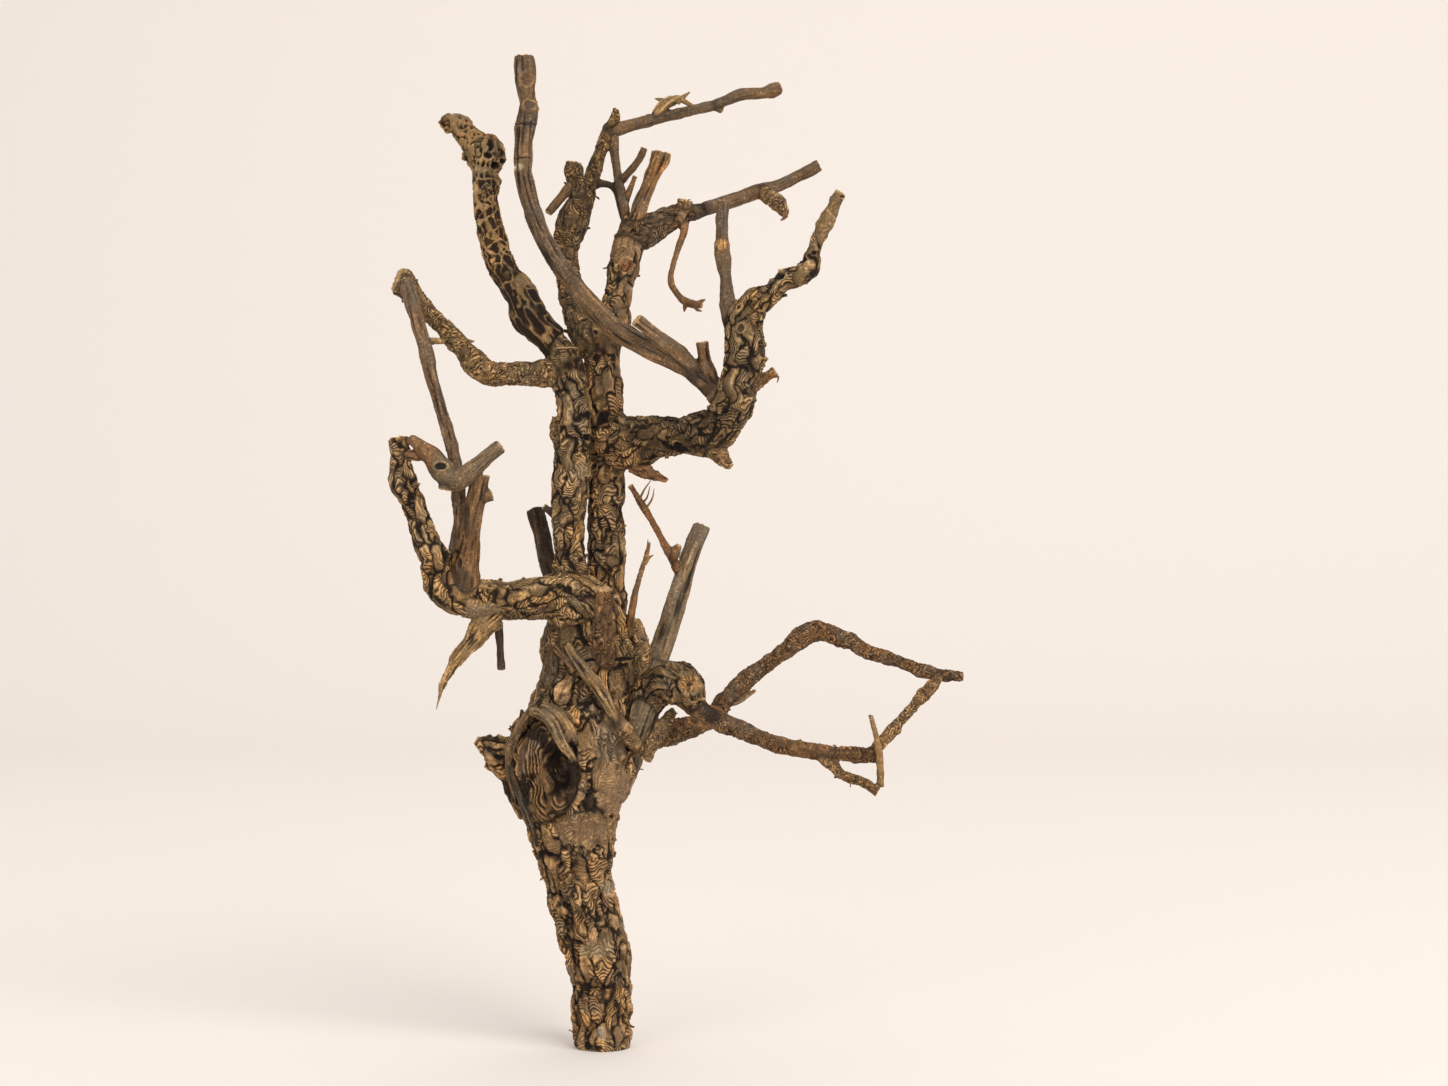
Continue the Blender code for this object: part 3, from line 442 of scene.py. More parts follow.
        (-21.6, -6, 73, 1.8), (-20.2, -6.5, 67, 1.6), (-18.6, -6, 61, 0.8),
    )),
    # Ridges and dark strips that lie on the head
    Limb("left_edge_strip", Surface.SPLIT, Tone.DARK, (
        (-30.5, -4, 86.5, 1.3), (-28.4, -6, 79.5, 1.2), (-26.9, -5, 72.5, 0.6),
    )),
    Limb("upper_edge_strip", Surface.SPLIT, Tone.SHADOWED, (
        (-17.5, -10, 99, 1.0), (-23.5, -11.5, 91, 1.2), (-26.2, -11.5, 83, 1.2), (-25.6, -11, 75, 0.9),
        (-23.6, -9, 68.5, 0.5),
    )),
    Limb("inner_edge_strip", Surface.SPLIT, Tone.DARK, (
        (-26.0, -11.8, 80, 0.8), (-23.0, -12.5, 71, 1.1), (-19.8, -11.5, 63, 0.9), (-18.6, -9.5, 57.5, 0.4),
    )),
    Limb("stub_root", Surface.SMOOTH, Tone.GREY, (
        (14.6, 0.5, 108, 2.9), (12.0, -5, 99, 3.7), (10.0, -7.6, 92, 3.4), (8.6, -7.0, 86, 2.2),
        (7.8, -3.5, 80, 1.2),
    )),
    Limb("knob_lump_right", Surface.PITTED, Tone.PALE_TAN, (
        (-33.0, 12, 251.0, 3.0), (-30.2, 11, 252.6, 2.6), (-28.2, 11, 253.6, 1.7),
    )),
    Limb("knob_lump_left", Surface.PITTED, Tone.PALE_TAN, (
        (-33.0, 12, 250.0, 3.0), (-37.4, 11, 251.0, 2.4), (-39.4, 11, 251.6, 1.7),
    )),
    Limb("flank_fold", Surface.RINGED, Tone.BARK, (
        (20.0, -3, 96, 1.6), (15.0, -7, 89, 2.0), (11.5, -9, 82, 1.6),
    )),
    Limb("neck_plate", Surface.PLATED, Tone.SHADOWED, (
        (-12.0, -6.5, 122, 2.2), (-13.4, -8, 115, 3.2), (-14.8, -8, 107, 3.0), (-16.6, -7.5, 100, 2.0),
    )),
    # Small spurs, buds, links and flakes
    Limb("inner_link", Surface.TWIG, Tone.DARK, (
        (-2.6, 24.5, 243.2, 1.4), (2.2, 24, 242.8, 1.1), (4.6, 21.5, 238.5, 1.2), (6.6, 16.5, 231.5, 1.3),
    )),
    Limb("inner_spur", Surface.TWIG, Tone.WARM, (
        (5.6, 19.5, 236.5, 1.1), (7.4, 19.5, 241.5, 0.95), (9.0, 19.5, 245.4, 0.6),
    )),
    Limb("back_arm_flake", Surface.SPLIT, Tone.STRAW, (
        (14.4, 29.5, 261.8, 1.3), (17.6, 30, 265.6, 1.4), (21.8, 30.5, 267.2, 1.0),
    )),
    Limb("back_arm_bump", Surface.TWIG, Tone.BARK, (
        (31.0, 32.5, 265.4, 1.4), (33.2, 32.8, 263.4, 0.9),
    )),
    Limb("elbow_stub", Surface.RINGED, Tone.BARK, (
        (-55.8, -13.6, 216.4, 1.8), (-55.6, -13.8, 219.6, 1.1),
    )),
    Limb("stick_spur", Surface.TWIG, Tone.STRAW, (
        (-50.8, -18, 198.8, 1.2), (-47.4, -17.5, 199.4, 0.9), (-44.6, -17, 199.2, 0.6),
    )),
    Limb("trunk_flake", Surface.RINGED, Tone.SHADED_BARK, (
        (-12.0, -6, 170, 1.6), (-14.2, -6.5, 174.6, 1.1), (-14.0, -6.5, 178.4, 0.5),
    )),
    Limb("trunk_splinter", Surface.SPLIT, Tone.ORANGE, (
        (-13.4, -11.4, 113.4, 0.6), (-10.8, -12.4, 110.8, 1.0), (-7.4, -12.4, 107.4, 0.9),
    )),
    Limb("brown_bud", Surface.TWIG, Tone.WARM, (
        (19.0, 5.8, 137.6, 1.1), (20.2, 5.4, 140.4, 1.7), (21.2, 5.2, 142.2, 0.8),
    )),
    Limb("rear_arm_strip", Surface.SPLIT, Tone.BARK, (
        (33.8, 10.5, 97.6, 1.2), (38.2, 10.5, 98.8, 0.9), (42.6, 10.5, 101.4, 0.6),
    )),
    Limb("front_arm_bridge", Surface.TWIG, Tone.BARK, (
        (64.2, -14.6, 83.6, 1.0), (65.4, -15.4, 80.6, 0.8), (66.6, -15.8, 78.2, 1.0),
    )),
)


FIBRES: tuple[Limb, ...] = (
    Limb("hair_one", Surface.SPLIT, Tone.STRAW, (
        (10.0, 0.2, 154.6, 0.4), (11.4, -0.8, 157.6, 0.28), (13.4, -1.6, 160.4, 0.1),
    )),
    Limb("hair_two", Surface.SPLIT, Tone.ORANGE, (
        (10.6, 0.6, 153.6, 0.4), (12.2, 0.2, 155.4, 0.26), (13.0, 0.2, 158.6, 0.1),
    )),
    Limb("hair_three", Surface.SPLIT, Tone.STRAW, (
        (11.6, 0.9, 152.0, 0.4), (13.6, 0.6, 155.0, 0.26), (14.2, 0.4, 158.0, 0.1),
    )),
    Limb("twig_hair", Surface.SPLIT, Tone.WARM, (
        (11.6, -6.0, 137.8, 0.45), (12.2, -6.6, 141.0, 0.25), (12.5, -7.0, 143.8, 0.1),
    )),
    Limb("twig_tear", Surface.SPLIT, Tone.STRAW, (
        (11.6, -6.0, 136.8, 0.6), (12.9, -6.2, 138.8, 0.45), (14.0, -6.4, 139.4, 0.12),
    )),
    Limb("spike_hair", Surface.SPLIT, Tone.STRAW, (
        (-45.6, -20.8, 100.4, 0.4), (-46.4, -21.2, 97.8, 0.22), (-46.8, -21.4, 96.0, 0.08),
    )),
    Limb("spur_hair", Surface.SPLIT, Tone.ORANGE, (
        (47.2, -24.8, 189.9, 0.5), (49.0, -25.2, 189.2, 0.35), (48.6, -25.4, 187.6, 0.12),
    )),
    Limb("curl_spike", Surface.SPLIT, Tone.ORANGE, (
        (23.2, 9.0, 210.6, 0.9), (22.8, 9.0, 208.6, 0.6), (22.6, 9.0, 207.4, 0.15),
    )),
    Limb("curl_barb", Surface.SPLIT, Tone.WARM, (
        (25.0, 8.4, 210.0, 0.8), (26.4, 8.2, 208.0, 0.5), (27.6, 8.0, 207.6, 0.15),
    )),
    Limb("curl_tip", Surface.SPLIT, Tone.WARM, (
        (26.0, 8.2, 209.6, 0.8), (27.8, 8.0, 210.6, 0.5), (28.6, 8.0, 210.9, 0.15),
    )),
    Limb("arm_flake_left", Surface.SPLIT, Tone.STRAW, (
        (18.6, 30.2, 265.4, 0.9), (16.6, 30.0, 266.6, 0.8), (14.4, 30.0, 267.2, 0.15),
    )),
    Limb("arm_flake_right", Surface.SPLIT, Tone.STRAW, (
        (20.6, 30.4, 266.0, 0.9), (22.4, 30.5, 267.6, 0.7), (24.2, 30.5, 269.0, 0.2),
    )),
    Limb("arm_flake_low", Surface.SPLIT, Tone.STRAW, (
        (21.6, 30.4, 267.0, 0.8), (23.6, 30.6, 265.8, 0.7), (25.6, 30.8, 265.0, 0.2),
    )),
    Limb("claw_point", Surface.SPLIT, Tone.ORANGE, (
        (50.0, 20.0, 235.6, 1.0), (51.0, 20.0, 234.2, 0.8), (49.6, 20.0, 233.0, 0.15),
    )),
    Limb("arm_sliver", Surface.SPLIT, Tone.ORANGE, (
        (28.4, -11.0, 97.0, 0.6), (31.4, -11.6, 96.4, 0.8), (34.4, -11.8, 94.8, 0.3),
    )),
)


def spline_value(before: float, start: float, end: float, after: float, t: float) -> float:
    """Return the Catmull-Rom value at t between two numbers and their neighbours."""
    straight = 2 * start + (end - before) * t
    bend = (2 * before - 5 * start + 4 * end - after) * t * t
    twist = (3 * start - before - 3 * end + after) * t * t * t
    return (straight + bend + twist) / 2


def in_place(station: Station) -> Station:
    """Return a station at its real place and radius, on its line of sight at its own depth."""
    x, y, z, radius = station
    seen = Vector((x, 0.0, z - RIM_DROP)) * READ_SCALE
    nearness = 1 - y / EYE.y
    place = EYE + (seen - EYE) * nearness
    return (place.x, place.y, place.z, radius * READ_SCALE * nearness)


def smooth_route(stations: tuple[Station, ...], gap: float) -> list[Station]:
    """Return stations about one gap apart on a smooth curve through the given ones.

    Args:
        stations: The stations as read.
        gap: The distance wanted between two stations.

    Returns:
        The stations in their real places.
    """
    placed = [in_place(station) for station in stations]
    padded = (placed[0], *placed, placed[-1])
    route = [placed[0]]
    for i in range(1, len(padded) - 2):
        near = padded[i - 1:i + 3]
        length = (Vector(near[2][:3]) - Vector(near[1][:3])).length
        steps = max(1, round(length / gap))
        for step in range(1, steps + 1):
            t = step / steps
            route.append(tuple(spline_value(*(s[axis] for s in near), t) for axis in range(4)))
    return route


def hashed(cell: np.ndarray, seed: int) -> np.ndarray:
    """Return a repeatable whole number below 2 to the 32 for each whole-number cell.

    Args:
        cell: Whole numbers, one row of three for each place.
        seed: A whole number that picks one pattern.

    Returns:
        One whole number for each row.
    """
    wide = cell.astype(np.uint32)
    mixed = wide[:, 0] * np.uint32(374761393) + wide[:, 1] * np.uint32(668265263)
    mixed += wide[:, 2] * np.uint32(1440662683) + np.uint32(seed * 974711)
    mixed = (mixed ^ (mixed >> np.uint32(13))) * np.uint32(1274126177)
    mixed = (mixed ^ (mixed >> np.uint32(15))) * np.uint32(668265263)
    return mixed ^ (mixed >> np.uint32(16))


def soft_noise(places: np.ndarray, size: float | tuple[float, float, float], seed: int) -> np.ndarray:
    """Return smooth noise from -1 to 1.

    Args:
        places: One row of three for each place.
        size: The size of one swell, or its size along each axis.
        seed: A whole number that picks one pattern.

    Returns:
        One value for each place.
    """
    places = places / np.array(size)
    cell = np.floor(places).astype(np.int64)
    part = places - cell
    ease = part * part * (3 - 2 * part)
    total = np.zeros(len(places))
    for corner in np.ndindex(2, 2, 2):
        share = np.ones(len(places))
        for axis in range(3):
            share = share * (ease[:, axis] if corner[axis] else 1 - ease[:, axis])
        total += share * (hashed(cell + np.array(corner), seed) >> np.uint32(8))
    return total * (2 / 0xFFFFFF) - 1


def cell_pattern(places: np.ndarray, seed: int) -> tuple[np.ndarray, ...]:
    """Return an irregular cell pattern at places whose unit is one cell.

    Args:
        places: One row of three for each place.
        seed: A whole number that picks one pattern.

    Returns:
        The distance to the nearest cell's middle, how much further the second one is, a value from 0 to 1
        that is the same all over a cell, that value for the second cell, and the place as seen from the middle.
    """
    home = np.floor(places).astype(np.int64)
    first = np.full(len(places), 9.0)
    second = np.full(len(places), 9.0)
    kind = np.zeros(len(places))
    other = np.zeros(len(places))
    offset = np.zeros((len(places), 3))
    for step in np.ndindex(3, 3, 3):
        cell = home + (np.array(step) - 1)
        draw = hashed(cell, seed)
        part = np.stack([(draw >> np.uint32(10 * axis)) & np.uint32(1023) for axis in range(3)], 1)
        away = places - (part * (0.9 / 1023) + 0.05 + cell)
        reach = np.sqrt((away ** 2).sum(1))
        value = ((draw >> np.uint32(7)) & np.uint32(1023)) / 1023
        nearer = reach < first
        between = ~nearer & (reach < second)
        other = np.where(nearer, kind, np.where(between, value, other))
        second = np.where(nearer, first, np.where(between, reach, second))
        kind = np.where(nearer, value, kind)
        offset[nearer] = away[nearer]
        first = np.where(nearer, reach, first)
    return first, second - first, kind, other, offset


def ease_between(low: float, high: float, value: np.ndarray) -> np.ndarray:
    """Return 0 below low, 1 above high and a smooth rise between them."""
    share = np.clip((value - low) / (high - low), 0, 1)
    return share * share * (3 - 2 * share)


def redrawn(kind: np.ndarray, factor: float) -> np.ndarray:
    """Return another value from 0 to 1 for each cell, drawn from its first one."""
    return (kind * factor) % 1.0


def band(value: np.ndarray, middle: float, width: float) -> np.ndarray:
    """Return 1 where a value is at the middle of a band, and a soft fall to 0 on both sides."""
    return np.exp(-((value - middle) / width) ** 2)


def read_rows(items: bpy.types.bpy_prop_collection, name: str, width: int, kind: type = np.float64) -> np.ndarray:
    """Return one value of every item of a mesh as an array.

    Args:
        items: The mesh's points, edges or attribute values.
        name: The value's name.
        width: How many numbers each item has.
        kind: The type of the numbers.

    Returns:
        One row for each item.
    """
    rows = np.empty(len(items) * width, kind)
    items.foreach_get(name, rows)
    return rows.reshape(-1, width)


def keep_attribute(mesh: bpy.types.Mesh, name: str, rows: np.ndarray) -> None:
    """Keep one number or one row of three for each point of a mesh."""
    kind, value = ("FLOAT", "value") if rows.ndim == 1 else ("FLOAT_VECTOR", "vector")
    mesh.attributes.new(name, kind, "POINT").data.foreach_set(value, rows.ravel())


def neighbour_sum(values: np.ndarray, links: np.ndarray) -> np.ndarray:
    """Return the sum of each point's neighbours' values, along the edges in links."""
    one, two = links.T
    return np.bincount(one, values[two], len(values)) + np.bincount(two, values[one], len(values))


def on_frame(obj: bpy.types.Object) -> None:
    """Let a piece of wood ride on the frame in place of its node."""
    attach(obj, BODY)
    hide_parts(NODE)


@dataclass
class Routes:
    """The middle lines of all limbs as close samples, with a frame at each sample.

    Attributes:
        limbs: The limbs in order.
        gap: The distance between samples.
    """

    limbs: tuple[Limb, ...]
    gap: float = 0.9
    centre: np.ndarray = field(init=False)
    radius: np.ndarray = field(init=False)
    along: np.ndarray = field(init=False)
    side: np.ndarray = field(init=False)
    front: np.ndarray = field(init=False)
    run: np.ndarray = field(init=False)
    limb: np.ndarray = field(init=False)
    length: np.ndarray = field(init=False)
    to_tip: np.ndarray = field(init=False)
    girth: np.ndarray = field(init=False)

    def __post_init__(self) -> None:
        """Sample every limb and carry a frame along it without twist."""
        rows = []
        lengths = []
        for number, limb in enumerate(self.limbs):
            route = smooth_route(limb.stations, self.gap)
            points = [Vector(station[:3]) for station in route]
            run = 0.0
            side = None
            for i, point in enumerate(points):
                ahead = points[min(i + 1, len(points) - 1)]
                behind = points[max(i - 1, 0)]
                along = (ahead - behind).normalized()
                if side is None:
                    side = along.cross(Vector((0, 1, 0)) if abs(along.y) < 0.9 else Vector((1, 0, 0)))
                side = (side - along * side.dot(along)).normalized()
                run += (point - behind).length if i else 0.0
                rows.append((*point, route[i][3], *along, *side, *along.cross(side), run, number))
            lengths.append(run)
        table = np.array(rows)
        self.centre = table[:, 0:3]
        self.radius = table[:, 3]
        self.along = table[:, 4:7]
        self.side = table[:, 7:10]
        self.front = table[:, 10:13]
        self.run = table[:, 13]
        self.limb = table[:, 14].astype(np.int64)
        self.length = np.array(lengths)
        self.to_tip = self.length[self.limb] - self.run
        thick = np.array([self.radius[self.limb == number].mean() for number in range(len(self.limbs))])
        self.girth = np.clip(thick / FULL_GIRTH, LEAST_GIRTH, 1.0)

    def nearest(self, places: np.ndarray) -> tuple[np.ndarray, np.ndarray]:
        """Find the sample that carries each place of the skin.

        Args:
            places: Places in millimetres.

        Returns:
            The number of the carrying sample, and how much further away the next limb's skin is.
        """
        starts = np.flatnonzero(np.diff(self.limb, prepend=-1))
        found = np.zeros(len(places), np.int64)
        spare = np.zeros(len(places))
        middle = self.centre.mean(0)
        centre = (self.centre - middle).astype(np.float32)
        radius = self.radius.astype(np.float32)
        centre_square = (centre ** 2).sum(1)
        for start in range(0, len(places), 6000):
            part = (places[start:start + 6000] - middle).astype(np.float32)
            square = (part ** 2).sum(1)[:, None] + centre_square - 2 * part @ centre.T
            depth = np.sqrt(np.maximum(square, 0)) - radius
            best = depth.argmin(1)
            by_limb = np.minimum.reduceat(depth, starts, axis=1)
            two = np.partition(by_limb, 1, axis=1)
            found[start:start + 6000] = best
            spare[start:start + 6000] = two[:, 1] - two[:, 0]
        return found, spare


@dataclass(frozen=True)
class Plates:
    """The bark plates under a set of points, one value for each point.

    Attributes:
        gap: The distance to the plate's edge, in plates.
        edge: That distance in millimetres.
        kind: A value from 0 to 1 that is the same all over a plate.
        cut: How deep the crack beside the point is, from 0 to 1.
        furrow: How far down in that crack the point lies, from 0 to 1.
        over: How far the point is from the plate's middle, across its lines.
        phase: Where the point is between two lines, with one line to each whole number.
        lined: How clear the lines are, from 0 to 1.
    """

    gap: np.ndarray
    edge: np.ndarray
    kind: np.ndarray
    cut: np.ndarray
    furrow: np.ndarray
    over: np.ndarray
    phase: np.ndarray
    lined: np.ndarray


@dataclass(frozen=True)
class Oval:
    """An oval on the wood's front, as the eye sees it.

    Attributes:
        x, z: Its middle.
        half_width, half_height: Its half sizes.
    """

    x: float
    z: float
    half_width: float
    half_height: float

    def reach(self, places: np.ndarray) -> np.ndarray:
        """Return how far places are from the middle, where 1 is on the oval."""
        return np.hypot((places[:, 0] - self.x) / self.half_width, (places[:, 2] - self.z) / self.half_height)


KNOT_LIP = Oval(-16.0, 78.5, 8.6, 11.6)
KNOT_HOLLOW = Oval(-12.2, 79.6, 4.4, 7.4)
KNOT_FOLDS = Oval(-11.0, 80.0, 8.6, 12.5)
KNOT_WOOD: Colour = srgb(88, 65, 41)
SAWN_FACE: Colour = srgb(150, 124, 88)


@dataclass
class Skin:
    """The wood's surface as arrays, one row for each point of the fused mesh.

    Attributes:
        places: Where the points are, in millimetres.
        normals: The outward directions.
        links: The two points of each edge.
        routes: The middle lines of the limbs.
    """

    places: np.ndarray
    normals: np.ndarray
    links: np.ndarray
    routes: Routes
    sample: np.ndarray = field(init=False)
    limb: np.ndarray = field(init=False)
    apart: np.ndarray = field(init=False)
    grain: np.ndarray = field(init=False)
    to_tip: np.ndarray = field(init=False)
    rise: np.ndarray = field(init=False)
    furrow: np.ndarray = field(init=False)
    ridge: np.ndarray = field(init=False)
    bare: np.ndarray = field(init=False)
    bark: np.ndarray = field(init=False)
    tone: np.ndarray = field(init=False)

    def __post_init__(self) -> None:
        """Find the limb under each point and its place along and across the grain."""
        routes = self.routes
        self.sample, spare = routes.nearest(self.places)
        self.limb = routes.limb[self.sample]
        self.apart = ease_between(0.0, 0.7, spare)
        offset = self.places - routes.centre[self.sample]
        ahead = (offset * routes.along[self.sample]).sum(1)
        self.grain = np.stack([
            routes.run[self.sample] + ahead,
            (offset * routes.side[self.sample]).sum(1),
            (offset * routes.front[self.sample]).sum(1),
        ], 1)
        self.to_tip = routes.length[self.limb] - self.grain[:, 0]
        count = len(self.places)
        self.rise = np.zeros(count)
        self.furrow = np.zeros(count)
        self.ridge = np.zeros(count)
        self.bare = np.zeros(count)
        self.bark = np.zeros((count, 3))
        self.tone = np.zeros((count, 3))

    def carve(self) -> None:
        """Carve every limb by its own kind of surface, then the places that differ."""
        for surface, relief in RELIEFS.items():
            numbers = [i for i, limb in enumerate(self.routes.limbs) if limb.surface is surface]
            rows = np.flatnonzero(np.isin(self.limb, numbers))
            if len(rows):
                self.carve_surface(rows, surface, relief)
        tones = np.array([limb.tone for limb in self.routes.limbs])
        self.tone = tones[self.limb] * self.tone
        for place in PLACES:
            place.shape(self)
        self.carve_knot()
        self.finish_ends()
        self.weather()
        self.furrow = np.clip(self.furrow, 0, 1)
        self.ridge = np.clip(self.ridge, 0, 1)

    def plates(self, rows: np.ndarray, grain: np.ndarray, thin: np.ndarray, relief: Relief) -> Plates:
        """Lay bark plates over the points, each with bent lines that run its own way.

        Args:
            rows: Which points.
            grain: Their places along and across the grain.
            thin: The share of their full size that the plates have there.
            relief: The sizes of the carving.

        Returns:
            The plates under the points.
        """
        across = relief.plate
        warped = grain.copy()
        for axis in range(3):
            for reach, swell, seed in EDGE_WANDER:
                warped[:, axis] += across * reach * soft_noise(grain, across * swell, seed + axis)
        size = np.array((across * relief.stretch, across, across))
        _, gap, kind, other, offset = cell_pattern(warped / size, PLATE_SEED)
        edge = gap * across * 0.5 * thin
        cut = ease_between(*DEEP_CRACKS, (kind + other) % 1.0)
        furrow = (0.3 + 0.6 * cut) * (1 - ease_between(*FURROW_SIDE, edge)) * (1.5 * thin - 0.5)
        offset = offset * size * thin[:, None]
        outward = self.grain[rows, 1:] / np.maximum(np.linalg.norm(self.grain[rows, 1:], axis=1), 0.1)[:, None]
        round_limb = offset[:, 2] * outward[:, 0] - offset[:, 1] * outward[:, 1]
        turn = LINE_TURN * (redrawn(kind, 7.31) - 0.5)
        over = offset[:, 0] * np.sin(turn) + round_limb * np.cos(turn)
        down = offset[:, 0] * np.cos(turn) - round_limb * np.sin(turn)
        bend = LINE_BEND * (redrawn(kind, 3.77) - 0.5)
        phase = (0.66 * (over + bend * down * down / across) + 0.6 * edge) / relief.line_gap
        phase = phase + soft_noise(grain, (4.0, 2.0, 2.0), 31)
        lined = ease_between(0.1, 0.5, soft_noise(self.places[rows], 5.5, 33) + 0.8)
        lined = lined * (0.3 + 0.7 * ease_between(0.12, 0.4, redrawn(kind, 5.13)))
        return Plates(gap, edge, kind, cut, furrow, over, phase, lined)

    def carve_surface(self, rows: np.ndarray, surface: Surface, relief: Relief) -> None:
        """Carve the points of one kind of surface.

        Args:
            rows: Which points.
            surface: Their kind.
            relief: The sizes of the carving.
        """
        places = self.places[rows]
        thin = self.routes.girth[self.limb[rows]]
        grain = (self.grain[rows] + self.limb[rows, None] * np.array(LIMB_SHIFT)) / thin[:, None]
        plates = self.plates(rows, grain, thin, relief)
        kind, edge, over = plates.kind, plates.edge, plates.over
        wave = np.cos(2 * math.pi * plates.phase - LINE_START)
        swell = soft_noise(places, relief.lump_size, 41) + 0.5 * soft_noise(places, relief.lump_size / 2.3, 43)
        groove = soft_noise(grain, (14.0, relief.groove_gap, relief.groove_gap), 51)
        groove += 0.5 * soft_noise(grain, (6.0, relief.groove_gap * 0.5, relief.groove_gap * 0.5), 53)
        fine = soft_noise(places, 0.85, 61)
        joint = self.apart[rows]
        barky = min(1.0, relief.furrow / FULL_BARK)
        rise = relief.lump * swell + relief.groove * groove + (0.03 + 0.09 * barky) * fine
        rise += 0.24 * barky * soft_noise(places, 1.9, 63)
        tilt = 0.5 * np.clip(over / relief.plate, -0.7, 0.7)
        rise += relief.step * (kind - 0.5 + tilt) * (1 - 0.5 * plates.furrow)
        rise -= relief.furrow * plates.furrow
        rise += relief.line * wave * plates.lined * (1 - plates.furrow)
        # Lengthwise grooves are darker where sunk and paler where raised: partly the grain's own colour, partly
        # painted shade and highlight.
        dark = np.clip(-groove - 0.3, 0, 1) * relief.groove * (5.5 if barky < 1 else 3.0)
        pale = np.clip(groove - 0.15, 0, 1) * 1.75 * relief.groove
        if barky > 0:
            # Painted highlight on one rim of each plate and painted shade on the other.
            lit_rim, shaded_rim = ease_between(0.1, 0.6, over), ease_between(0.1, 0.6, -over)
            pale = pale + 0.85 * band(edge, 0.6, 0.22) * lit_rim
            dark = dark + 0.4 * thin ** 2 * (1 - ease_between(0.2, 0.65, edge)) * shaded_rim
        if surface is Surface.PITTED:
            rise, dark, pale = self.pitted(places, grain, plates, swell, fine, relief)
            self.bark[rows, 0] = NO_EDGE
            self.bark[rows, 2] = 0.2 * joint
        else:
            # The painted shade of the cracks in the shader fades where a crack is shallow, the limb thin or another
            # limb near.
            shallow = 0.18 * (1 - plates.cut) + 0.5 * (1 - thin) + 0.25 * (1 - joint)
            self.bark[rows, 0] = edge + shallow + NO_EDGE * (1 - barky)
            self.bark[rows, 2] = plates.lined * joint * (barky if barky > 0 else 0.12)
        self.bark[rows, 1] = plates.phase
        slow = 1 + 0.22 * soft_noise(places, 11, 81) + 0.2 * soft_noise(places, 3.5, 85)
        warm = 0.1 * soft_noise(places, 7, 83) + 0.07 * (kind - 0.5)
        patch = 1 + relief.patchwork * (kind - 0.5) * 2
        self.tone[rows] = (patch * slow)[:, None] * np.stack([1 + warm, np.ones(len(rows)), 1 - 1.5 * warm], 1)
        self.rise[rows] = rise * (0.3 + 0.7 * joint)
        # Painted shade where two limbs meet, darker the closer the next limb's skin lies.
        self.furrow[rows] = dark + 0.6 * (1 - joint)
        self.ridge[rows] = pale * joint
        self.bare[rows] = 1.0 - barky

    @staticmethod
    def pitted(places: np.ndarray, grain: np.ndarray, plates: Plates, swell: np.ndarray,
               fine: np.ndarray, relief: Relief) -> tuple[np.ndarray, np.ndarray, np.ndarray]:
        """Carve the pitted limb: charred plates below, a pale net in the middle, round holes at the top in painted
        shade.

        Args:
            places: The points.
            grain: Their places along and across the limb.
            plates: The cells of the net, laid out as bark plates are.
            swell: The broad lumps.
            fine: The fine roughness.
            relief: The sizes of the carving.

        Returns:
            The rise, the darkness and the paleness.
        """
        z = places[:, 2] + 3 * soft_noise(places, 5, 71)
        top = ease_between(*HOLES_FROM, z)
        middle = ease_between(*NET_FROM, z) * (1 - top)
        low = 1 - middle - top
        vein = band(soft_noise(grain, (5.5, 1.9, 1.9), 79), 0.0, 0.11)
        tan_cell = ease_between(0.9, 0.92, redrawn(plates.kind, 9.7))
        net = np.maximum(1 - ease_between(0.03, 0.13, plates.gap), np.maximum(0.7 * vein, tan_cell))
        blot = soft_noise(grain, (6.5, 2.6, 2.6), 73) + 0.6 * soft_noise(grain, (2.2, 0.9, 0.9), 75)
        char = ease_between(-0.62, -0.46, blot)
        reach, _, hole_kind, _, _ = cell_pattern(places / np.array((1.3, 1.3, 1.7)), 77)
        hole = top * (1 - ease_between(0.3, 0.42, reach)) * (hole_kind > 0.15)
        reach, _, hole_kind, _, _ = cell_pattern(places / 5.5, 78)
        broad = top * (1 - ease_between(0.18, 0.24, reach)) * (hole_kind > 0.3)
        worm = top * 0.8 * band(soft_noise(places, (2.4, 2.4, 3.2), 76), 0.0, 0.1)
        holes = np.maximum(np.maximum(hole, broad), worm)
        rise = relief.lump * swell + 0.08 * fine + top * 0.5 * soft_noise(places, 3.4, 74)
        rise += middle * relief.furrow * (0.9 * net - 0.5) + low * (0.35 * char - 0.15)
        rise += 0.2 * vein * low - 0.8 * holes
        # The holes are painted near black as painted shade; the rest of the darkness is the char.
        dark = np.maximum(middle * (1 - net) + low * char * (1 - 0.85 * vein), holes)
        pale = 0.35 * middle * net + 0.4 * low * vein * char + 0.1 * low * (1 - char) + 0.12 * top
        return rise, dark, pale

